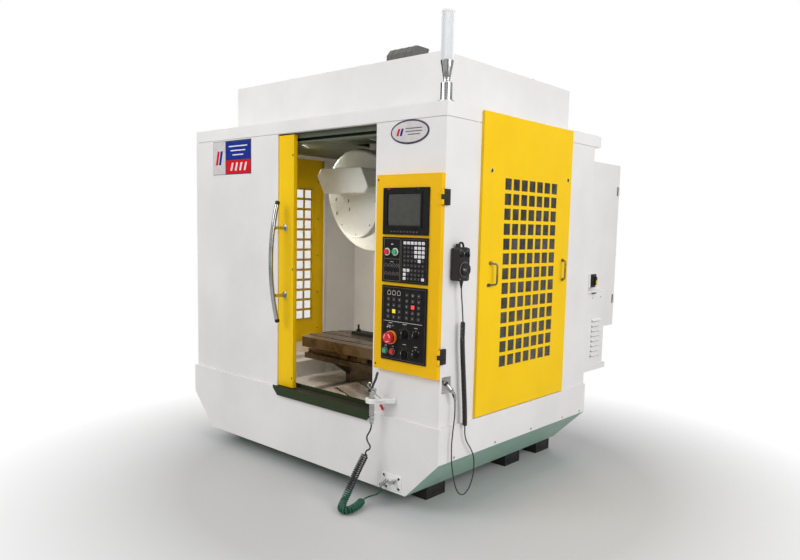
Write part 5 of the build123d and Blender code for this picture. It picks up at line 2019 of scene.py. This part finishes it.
@dataclass
class Cabin:
    """What shows inside the cabin: lamp, cover strips, pipes, jambs, screws and chips.

    Attributes:
        ceiling: The Z of the ceiling's lower side.
        slope: The slope of the way covers, in degrees.
        chip_level: The Z that the chips lie on.
        chip_count: How many chips there are.
        chip_seed: The seed of their places.
    """

    ceiling: float = 1922
    slope: float = 15.0
    chip_level: float = 400.3
    chip_count: int = 150
    chip_seed: int = 17

    def lamp(self) -> None:
        """Builds the work lamp under the ceiling and the light it gives."""
        body = Shape("work_lamp", Finish.NICKEL)
        body.block((-620, -300), (-640, -590), (self.ceiling - 34, self.ceiling - 2), 4)
        body.use(Finish.KEY_WHITE)
        body.block((-608, -312), (-632, -598), (self.ceiling - 38, self.ceiling - 33), 1.5)
        body.done("bright_steel")
        aim, tint = (0.0, 0.05, 0.5), (1.0, 0.96, 0.89)
        area_light("work_light_left", (-0.62, -0.40, 1.86), aim, 0.3, 4.6, tint)
        area_light("work_light_front", (-0.30, -0.62, 1.22), aim, 0.24, 2.9, tint)

    def chevrons(self) -> None:
        """Builds the bright front edge strips of the three way covers."""
        fall = math.tan(math.radians(self.slope))
        for name, body, ridge, half, y in (
            ("saddle_cover_strip", "saddle_body", 445, 225, -332),
            ("outer_cover_strip", "cover_outer_body", 442, 222, -524),
            ("middle_cover_strip", "cover_middle_body", 439, 219, -690),
        ):
            strip = Shape(name, Finish.WIPER)
            foot = ridge - (half - 4) * fall
            for side in (-1, 1):
                end = side * (half - 4)
                outline = [
                    (0, ridge + 0.2), (end, foot + 0.2), (end, foot + 1.3), (0, ridge + 1.3)
                ]
                strip.prism(outline, "xz", y, y + 17)
            for side in (-1, 1):
                for i in range(4):
                    x = side * (30 + i * 52)
                    strip.screw((x, y + 9, ridge + 1.2 - abs(x) * fall), UPWARD, 3.6, 1.4)
            strip.done("cover_steel", body)

    def pipes(self) -> None:
        """Builds the coolant pipes under the ceiling and the nozzles by the spindle."""
        pipes = Shape("ceiling_pipes", Finish.GREEN)
        pipes.curve_tube(
            [
                (340, -640, 1900), (300, -520, 1893), (285, -300, 1896), (300, 0, 1900),
                (330, 300, 1900),
            ], 11
        )
        pipes.curve_tube(
            [
                (395, -640, 1902), (372, -480, 1896), (352, -250, 1898), (365, 40, 1902),
                (380, 300, 1902),
            ], 8
        )
        pipes.use(Finish.NICKEL)
        for y in (-420, -120, 180):
            pipes.block((270, 400), (y - 8, y + 8), (1912, 1921.5), 1.5)
        pipes.done("green_paint")
        nozzles = Shape("coolant_nozzles", Finish.SIGNAL_YELLOW)
        for side in (-1, 1):
            for count in range(9):
                share = count / 8
                spot = (side * (74 - 18 * share), -120 - 10 * share, 1262 - 74 * share)
                nozzles.use(Finish.BUTTON_GREEN if count % 2 else Finish.BADGE_BLUE)
                nozzles.lathe(
                    spot, (side * -0.24, -0.1, -1), [(0, 5), (2, 7.2), (6, 6.6), (9.4, 4.6)], 18
                )
            nozzles.use(Finish.NICKEL)
            nozzles.block((side * 74 - 9, side * 74 + 9), (-132, -104), (1262, 1282), 2)
        nozzles.done("bright_steel", "head")

    def linings(self) -> None:
        """Builds the jambs and the lining screws on the left and right walls."""
        jambs = Shape("window_jambs", Finish.RIM_WHITE)
        for side in (-1, 1):
            low, high = sorted((side * 1036.8, side * 1030))
            jambs.block((low, high), (287, 314), (536, 1900), 1.5)
            jambs.block((low, high), (-522, -495), (536, 1900), 1.5)
        jambs.done("white_paint")
        screws = Shape("lining_screws", Finish.BLACK_PAINT)
        for side in (-1, 1):
            for y in (-440, 232):
                for i in range(5):
                    screws.screw((side * 1039.8, y, 620 + i * 280), (-side, 0, 0), 5, 3)
        screws.done("black_iron")

    def chips(self) -> None:
        """Scatters turned chips on the guards and the pan, the same each run."""
        chips = Shape("metal_chips", Finish.BRIGHT_STEEL)
        seed = self.chip_seed
        for _ in range(self.chip_count):
            draws = []
            for _ in range(4):
                seed = (seed * DRAW_FACTOR + DRAW_STEP) % DRAW_LIMIT
                draws.append(seed / DRAW_LIMIT)
            x = -500 + 250 * draws[0]
            y = -700 + 640 * draws[1]
            if draws[3] > 0.5:
                x = -x
            turn = math.tau * draws[2]
            curl = (2.5 + 4 * draws[3]) * 0.6
            points = []
            for k in range(5):
                angle = turn + k * 1.1
                rise = self.chip_level + 0.6 + k * 0.35
                points.append((x + curl * math.cos(angle), y + curl * math.sin(angle), rise))
            chips.tube(points, 0.45, 4)
        chips.done("bright_steel")

    def build(self) -> None:
        """Builds everything inside the cabin."""
        self.lamp()
        self.chevrons()
        self.pipes()
        self.linings()
        self.chips()


@dataclass
class Pendant:
    """The handwheel pendant's dial, grips, legends, hook and relief.

    Attributes:
        face: The X of the body's face.
        wheel: The wheel's middle along Y and Z.
    """

    face: float = 1095
    wheel: Pair = (-715, 1224)

    def build(self) -> None:
        """Builds the pendant's small parts."""
        y, z = self.wheel
        dial = Shape("pendant_dial", Finish.KEY_GREY)
        dial.ring((self.face + 2, y, z), TO_RIGHT, 31.2, 37.4, 1.2, 60)
        dial.use(Finish.BLACK_PLASTIC)
        for i, (cosine, sine) in enumerate(circle(50)):
            spots = [
                (self.face + 3.4, y + reach * cosine, z + reach * sine)
                for reach in (32.4 if i % 5 else 31.8, 36.4)
            ]
            dial.rod(*spots, 0.35, 5)
        dial.done("black_plastic")
        wheel = Shape("pendant_wheel_rim", Finish.BLACK_PLASTIC)
        wheel.lathe(
            (self.face + 2.6, y, z), TO_RIGHT,
            [(0, 30.6), (2, 30.8), (5, 30.2), (9, 30.2), (11, 30.8), (12.6, 29.4), (13, 24)], 48,
        )
        wheel.lathe(
            (self.face + 15.2, y, z), TO_RIGHT,
            [(0, 24), (1.2, 23), (1.4, 12), (3.4, 10), (3.8, 2)], 40,
        )
        wheel.use(Finish.CHROME)
        wheel.lathe(
            (self.face + 15, y - 19, z), TO_RIGHT,
            [(0, 6.4), (2, 6.4), (3, 4.6), (7, 5.4), (11.5, 6.2), (13.6, 4.8), (14, 1)], 24,
        )
        wheel.done("chrome", "handwheel")
        for name, body, place in (
            ("axis_knob_cap", "axis_knob", -736), ("step_knob_cap", "step_knob", -694),
        ):
            cap = Shape(name, Finish.BLACK_PLASTIC)
            cap.lathe(
                (self.face + 0.6, place, 1295), TO_RIGHT, [
                    (0, 13.4), (2, 13.4), (6, 12.3), (7.4, 10.6)
                ], 32
            )
            cap.use(Finish.KEY_WHITE).block(
                (self.face + 13.2, self.face + 13.7), (place - 0.8, place + 0.8), (1298, 1306)
            )
            cap.done("black_plastic", body)
        marks = Shape("pendant_legends", Finish.LEGEND)
        for place in (-736, -694):
            for i in range(5):
                angle = math.radians(-60 + 30 * i)
                spot = (place + 17 * math.sin(angle), 1295 + 17 * math.cos(angle))
                marks.block(
                    (self.face, self.face + 0.3), (spot[0] - 0.7, spot[0] + 0.7), (
                        spot[1] - 1.8, spot[1] + 1.8
                    )
                )
        for place in (-745, -685):
            for level in (1181, 1316):
                marks.use(Finish.NICKEL).screw((self.face, place, level), TO_RIGHT, 3.0, 1.6)
        marks.done("black_plastic")
        relief = Shape("pendant_cord_relief", Finish.RUBBER)
        profile = [(0, 8.6)]
        for i in range(6):
            low = 2 + i * 4.5
            radius = 8.2 - i * 0.75
            profile += [
                (low, radius), (low + 2.6, radius), (low + 2.6, radius - 1.3),
                (low + 4.3, radius - 1.3),
            ]
        profile.append((30, 3.3))
        relief.lathe((1075, -708, 1163), (0, 0.02, -1), profile, 24)
        relief.done("cord_black")
        hook = Shape("pendant_hook", Finish.BLACK_PLASTIC)
        hook.curve_tube(
            [
                (1072, -733, 1322), (1072, -735, 1340), (1072, -715, 1352), (1072, -695, 1340),
                (1072, -697, 1322),
            ], 5
        )
        hook.block((1060, 1090), (-744, -686), (1321, 1328), 2.5)
        hook.done("black_plastic")
        boot = Shape("plug_boot", Finish.RUBBER)
        profile = []
        for i in range(7):
            low = i * 6.5
            radius = 7.6 - i * 0.55
            profile += [
                (low, radius), (low + 4, radius), (low + 4, radius - 1.2),
                (low + 6.3, radius - 1.2),
            ]
        boot.lathe((1070.6, -742.0, 640), (0.115, 0.285, -0.95), profile, 24)
        boot.use(Finish.BLACK_PLASTIC)
        boot.lathe(
            (1043, -767.2, 683), (0.6, 0.37, -0.71), [(0, 11.6), (3, 12.6), (8, 12.6), (11, 11.6)],
            28,
        )
        boot.done("cord_black")


@dataclass
class AirGun:
    """The air gun's black nozzle, clamp rings, hook ring, valve, red tab and bracket lip.

    Attributes:
        x: The gun's place along X.
        y: The gun's place along Y.
    """

    x: float = 668
    y: float = -880

    def build(self) -> None:
        """Builds the gun's small parts."""
        x, y = self.x, self.y
        # The long nozzle is drawn black along its whole length.
        nozzle = Shape("gun_nozzle_black", Finish.CORD)
        nozzle.curve_tube(
            [
                (x + 1.5, y, 606), (x + 3, y, 622), (x + 12, y, 640), (x + 22, y, 656),
                (x + 29, y, 675), (x + 36, y, 697),
            ],
            6.2,
        )
        nozzle.done("cord_black")
        rings = Shape("gun_rings", Finish.CHROME)
        for z, radius, height in (
            (430, 10.6, 6), (446, 12.4, 9), (470, 13.0, 5), (488, 13.4, 4), (512, 13.2, 3),
            (536, 13.2, 3), (596, 13.6, 6),
        ):
            rings.lathe(
                (x, y, z), UPWARD,
                [(0, radius - 1.4), (1, radius), (height - 1, radius), (height, radius - 1.4)], 28,
            )
        rings.use(Finish.NICKEL)
        for cosine, sine in circle(12):
            spot = (x + 12.2 * cosine, y + 12.2 * sine)
            rings.rod((*spot, 494), (*spot, 534), 0.8, 6)
        rings.done("chrome")
        hook = Shape("gun_hook_ring", Finish.CHROME)
        points = []
        for i in range(29):
            angle = math.radians(-70 + 320 * i / 28)
            points.append((x - 12 + 13 * math.cos(angle), y - 5, 626 + 13 * math.sin(angle)))
        hook.tube(points, 2.6, 10)
        hook.rod((x - 12, y - 5, 600), (x - 8, y - 5, 616), 3.2, 12)
        hook.done("chrome")
        valve = Shape("gun_valve", Finish.BLACK_PLASTIC)
        valve.lathe((x, y - 11, 602), TO_FRONT, [(0, 5), (3, 7.5), (10, 7.5), (12, 6)], 24)
        valve.use(Finish.NICKEL).lathe(
            (x + 6, y, 606), (1, 0, 0.1), [(0, 4), (14, 4), (15, 6.4), (20, 6.4), (21, 5)], 20
        )
        valve.done("chrome")
        plug = Shape("bracket_drain_tab", Finish.RED)
        plug.prism([(654, 512), (664, 515), (684, 492), (675, 486)], "xz", -813, -807)
        plug.done("red_plastic")
        lip = Shape("gun_bracket_lip", Finish.RIM_WHITE)
        for level, radius in ((556, 5.6), (549, 5.6), (542, 5.2)):
            points = []
            for i in range(31):
                angle = math.radians(118 + 304 * i / 30)
                points.append((x + 27 * math.cos(angle), y + 27 * math.sin(angle), level))
            lip.tube(points, radius, 12)
            lip.tube(
                [(x + 24, y + 12, level), (x + 70, y + 40, level), (x + 96, y + 70, level)],
                radius, 12,
            )
        lip.done("white_paint")


@dataclass
class AirInlet:
    """The inlet's white plate, its screws, block and couplers.

    Attributes:
        x: The plate's range along X.
        z: The plate's range along Z.
        front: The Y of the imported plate's front.
    """

    x: Pair = (697, 824)
    z: Pair = (100, 176)
    front: float = -824

    def build(self) -> None:
        """Builds the inlet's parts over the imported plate."""
        plate = Fascia("inlet_plate_cover", Finish.RIM_WHITE)
        middle = (sum(self.x) / 2, sum(self.z) / 2)
        plate.tile(
            *middle, self.x[1] - self.x[0] + 1.6, self.z[1] - self.z[0] + 1.6, self.front + 4, 5.2,
            1.2,
        )
        plate.done("white_paint")
        face = self.front - 1.2
        block = Fascia("inlet_block", Finish.KEY_WHITE)
        block.tile(763, 144, 62, 30, face, 9, 4)
        block.use(Finish.CHROME)
        for x, z in ((742, 141), (786, 148)):
            block.lathe(
                (x, face - 8, z), TO_FRONT,
                [(0, 11), (3, 11), (4, 8.4), (14, 8.4), (16, 9.6), (21, 9.6), (22, 6)], 6,
            )
            block.lathe((x, face - 27, z), TO_FRONT, [(0, 7.4), (8, 7.4), (9, 5.4)], 24)
        block.done("white_paint")
        screws = Shape("inlet_screws", Finish.BLACK_PAINT)
        for x, z in ((709, 165), (812, 165), (812, 111), (728, 107)):
            screws.screw((x, face, z), TO_FRONT, 6.0, 4.4)
        screws.done("black_iron")
        elbow = Shape("inlet_elbow", Finish.CHROME)
        elbow.lathe(
            (712, face, 118), TO_FRONT,
            [(0, 12), (4, 12), (5, 9), (14, 9), (15, 10.5), (20, 10.5)], 6,
        )
        elbow.lathe(
            (712, -848, 126), (0, 0, -1),
            [(0, 6), (2, 9.2), (10, 9.2), (11, 7.6), (16, 7.6), (21, 5.2)], 24,
        )
        elbow.done("chrome")


@dataclass
class Cabinet:
    """The rear cabinet's louvres, hinges, switch parts, lock and seams.

    Attributes:
        side: The X of the cabinet's right side.
    """

    side: float = 1010

    def build(self) -> None:
        """Builds the cabinet's parts."""
        hoods = Shape("cabinet_louvre_hoods", Finish.WHITE)
        for row in range(8):
            z = 620 + row * 32
            outline = [
                (self.side - 0.5, z + 17), (self.side + 9, z + 8), (self.side + 15, z + 1),
                (self.side + 14, z - 1), (self.side - 0.5, z + 1),
            ]
            hoods.prism(outline, "xz", 752, 868)
            # Painted shadow: a thin dark grey strip under each hood.
            hoods.use(Finish.DUCT_GREY)
            hoods.block((self.side - 0.4, self.side + 0.6), (756, 864), (z - 7, z + 0.5), 0.3)
            hoods.use(Finish.WHITE)
        hoods.done("white_paint")
        plate = Shape("main_switch_plate", Finish.BLACK_PLASTIC)
        plate.block((1006.6, 1009.6), (722, 790), (1062, 1146), 1.2)
        plate.block((1009, 1013), (724, 788), (1126, 1144), 1.2)
        for y in (729, 783):
            plate.use(Finish.NICKEL).screw((1009.6, y, 1070), TO_RIGHT, 3, 1.6)
        plate.use(Finish.RIM_WHITE).block((1009, 1036), (712, 800), (1040, 1046), 1.4)
        plate.use(Finish.BLACK_PLASTIC).block((1009, 1024), (735, 778), (1022, 1039.6), 2)
        plate.done("black_plastic")
        grip = Shape("main_switch_grip", Finish.BLACK_PLASTIC)
        grip.lathe((1010, 756, 1104), TO_RIGHT, [(0, 28.6), (5, 28.6), (7, 26), (8, 20)], 40)
        grip.block((1016, 1032), (746.5, 765.5), (1077, 1131), 3)
        grip.use(Finish.SIGNAL_YELLOW)
        grip.block((1014, 1026), (766.5, 784), (1080, 1118), 2)
        grip.block((1031.5, 1034.5), (749, 763), (1080, 1108), 1)
        grip.done("black_plastic", "power_switch")
        trim = Shape("cabinet_trim", Finish.WHITE)
        trim.block((1009.5, 1012), (742, 880), (1000, 1003), 0.8)
        trim.block((1009.5, 1012), (742, 880), (604, 607), 0.8)
        trim.block((640, 980), (924.5, 927), (600, 780), 1.0)
        trim.use(Finish.BLACK_PLASTIC)
        for y in (755, 868):
            for z in (612, 994):
                trim.screw((self.side, y, z), TO_RIGHT, 3.6, 2.2)
        trim.done("white_paint")
        hinges = Shape("cabinet_hinge_covers", Finish.BLACK_PLASTIC)
        for z in (938, 1652):
            hinges.block((985.4, 987.2), (1077, 1088), (z + 2, z + 58), 0.7)
            for step in (12, 30, 48):
                hinges.screw((987, 1082.5, z + step), TO_RIGHT, 3.0, 1.8)
        hinges.done("black_plastic")
        lock = Shape("cabinet_door_lock", Finish.CHROME)
        lock.block((101, 130), (1112, 1116), (1262, 1378), 3)
        lock.lathe((115, 1115.5, 1245), TO_BACK, [(0, 11), (3, 11), (4, 9), (4, 4), (2.5, 4)], 28)
        lock.block((108, 122), (1124, 1124.25), (1290, 1350), 0.1)
        lock.done("chrome", "rear_door")
        seal = Shape("cabinet_door_edges", Finish.WHITE)
        seal.block((84, 982), (1111.8, 1113.0), (1843, 1849.5), 0.5)
        seal.block((84, 982), (1111.8, 1113.0), (790.5, 797), 0.5)
        for i in range(9):
            z = 900 + i * 16
            outline = [(1111.8, z + 6), (1117, z + 1.5), (1117, z), (1111.8, z - 4)]
            seal.prism(outline, "yz", 420, 660)
        seal.done("white_paint", "rear_door")


@dataclass
class Roof:
    """The hood's seams, bolts, lifting eyes and the dark duct cowl.

    Attributes:
        top: The Z of the hood's top.
    """

    top: float = 2273

    def build(self) -> None:
        """Builds the roof's parts."""
        cowl = Shape("roof_duct_cowl", Finish.DUCT_GREY)
        outline = [(-613.2, self.top), (-613.2, 2300.4), (-586, 2331.2)]
        outline += [(-499, 2331.2), (-492, 2322), (-498.8, 2320), (-498.8, self.top)]
        cowl.prism(outline, "yz", 468.8, 657.2)
        rib = [(-614.6, self.top), (-614.6, 2301), (-586.6, 2332.6)]
        rib += [(-520, 2332.6), (-520, 2331), (-560, self.top)]
        for x in (498, 545, 592, 638):
            cowl.prism(rib, "yz", x, x + 6)
        cowl.done("black_plastic", smooth=40)
        seams = Shape("hood_seams", Finish.RIM_WHITE)
        for x in (-284, 284):
            seams.block((x - 14, x + 14), (-616, 624), (self.top - 0.4, self.top + 2.2), 0.8)
        seams.use(Finish.NICKEL)
        for x in (-840, -560, 0, 560, 840):
            for y in (-604, 612):
                seams.screw((x, y, self.top), UPWARD, 6, 4)
        for x in (-700, 700):
            for y in (-420, 430):
                seams.lathe((x, y, self.top), UPWARD, [(0, 20), (6, 20), (8, 16), (16, 12)], 28)
                ring = []
                for i in range(25):
                    angle = math.tau * i / 24
                    ring.append(
                        (x + 19 * math.cos(angle), y, self.top + 36 + 19 * math.sin(angle))
                    )
                seams.tube(ring, 5.5, 10)
        seams.done("white_paint")


@dataclass
class Feet:
    """The levelling bolts in the feet and the bolts of the skirt."""

    def build(self) -> None:
        """Builds the bolts."""
        bolts = Shape("foot_bolts", Finish.NICKEL)
        for side in (-1, 1):
            for y in (-540, 190, 540):
                for step in (-42, 42):
                    x = side * 770
                    bolts.lathe(
                        (x, y + step, 22), UPWARD,
                        [(0, 13), (3, 13), (3.2, 10.4), (11, 10.4), (12, 9)], 6,
                    )
                    bolts.rod((x, y + step, 30), (x, y + step, 63), 6, 14)
        bolts.done("black_iron")
        plates = Shape("foot_end_plates", Finish.BLACK_PAINT)
        for side in (-1, 1):
            for y in (-540, 190, 540):
                low, high = sorted((side * 812, side * 819))
                plates.block((low, high), (y - 67.2, y + 67.2), (22.2, 64.6), 1.2)
                for step in (-50, 50):
                    plates.screw((side * 819, y + step, 44), (side, 0, 0), 5, 3)
        plates.done("black_iron")
        skirt = Shape("skirt_bolts", Finish.NICKEL)
        for y in (-700, -350, 0, 350, 560):
            for side in (-1, 1):
                skirt.screw((side * 1055, y, 306), (side, 0, 0), 6.5, 4)
        skirt.done("bright_steel")
        hinges = Shape("console_hinge_blocks", Finish.BLACK_PLASTIC)
        for z in (813, 1556.5):
            hinges.block((1040.5, 1053), (-823, -778), (z - 37, z + 37), 2)
            for step in (-20, 20):
                hinges.screw((1053, -802, z + step), TO_RIGHT, 4, 2)
        hinges.done("black_plastic")


PENDANT_CORD = CurlyCord(
    name="curly_pendant_cord",
    first=[
        (1.075, -0.708, 1.165), (1.075, -0.706, 1.120), (1.075, -0.698, 1.070),
        (1.075, -0.691, 1.020), (1.075, -0.687, 0.975),
    ],
    curl=[
        (1.075, -0.687, 0.975), (1.075, -0.686, 0.930), (1.075, -0.687, 0.886),
        (1.075, -0.679, 0.801), (1.075, -0.669, 0.715), (1.075, -0.660, 0.630),
        (1.075, -0.650, 0.543), (1.075, -0.645, 0.456),
    ],
    last=[
        (1.075, -0.645, 0.456), (1.075, -0.643, 0.408), (1.075, -0.622, 0.366),
        (1.075, -0.588, 0.330), (1.075, -0.562, 0.284), (1.075, -0.556, 0.231),
        (1.075, -0.564, 0.179), (1.075, -0.588, 0.133), (1.075, -0.628, 0.104),
        (1.075, -0.672, 0.116), (1.075, -0.702, 0.155), (1.075, -0.721, 0.206),
        (1.075, -0.735, 0.260), (1.075, -0.744, 0.316), (1.075, -0.746, 0.374),
        (1.075, -0.741, 0.432), (1.075, -0.732, 0.489), (1.075, -0.725, 0.546),
        (1.075, -0.730, 0.604),
    ],
    helix=Helix(0.0095, 0.0066),
    diameter=0.006,
    finish=Finish.CURLY,
    slot="cord_black",
    covers=("pendant_cord",),
    far_end="connector",
    pieces=("pendant_plug",),
)

AIR_HOSE = CurlyCord(
    name="coiled_air_hose",
    first=[
        (0.712, -0.848, 0.106), (0.712, -0.848, 0.084), (0.696, -0.850, 0.066),
        (0.674, -0.856, 0.054), (0.652, -0.864, 0.044), (0.634, -0.876, 0.034),
        (0.628, -0.892, 0.024), (0.634, -0.905, 0.024),
    ],
    curl=[
        (0.634, -0.905, 0.024), (0.655, -0.950, 0.024), (0.668, -0.995, 0.024),
        (0.672, -1.040, 0.024), (0.630, -1.046, 0.024), (0.603, -1.010, 0.030),
        (0.607, -0.979, 0.082), (0.622, -0.954, 0.152), (0.640, -0.928, 0.222),
        (0.656, -0.905, 0.277),
    ],
    last=[
        (0.656, -0.905, 0.277), (0.653, -0.898, 0.293), (0.672, -0.894, 0.300),
        (0.674, -0.890, 0.318), (0.646, -0.885, 0.334), (0.636, -0.882, 0.356),
        (0.652, -0.880, 0.380), (0.665, -0.880, 0.402), (0.668, -0.880, 0.427),
    ],
    helix=Helix(0.0169, 0.0108),
    diameter=0.008,
    finish=Finish.HOSE,
    slot="hose_green",
    covers=("air_hose", "hose_coil"),
    far_end="object",
)


def main() -> None:
    """Builds the studio, the cords and each dressed part in order."""
    logging.basicConfig(level=logging.INFO, format="%(name)s: %(message)s")
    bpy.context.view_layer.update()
    Studio().build()
    PENDANT_CORD.build()
    AIR_HOSE.build()
    CastNodes().build()
    for part in (
        Console(), Door(), Badges(), Sides(), Tower(), TurretCover(), Cabin(), Pendant(), AirGun(),
        AirInlet(), Cabinet(), Roof(), Feet(),
    ):
        LOG.info("building %s", type(part).__name__)
        part.build()


if __name__ == "__main__":
    main()
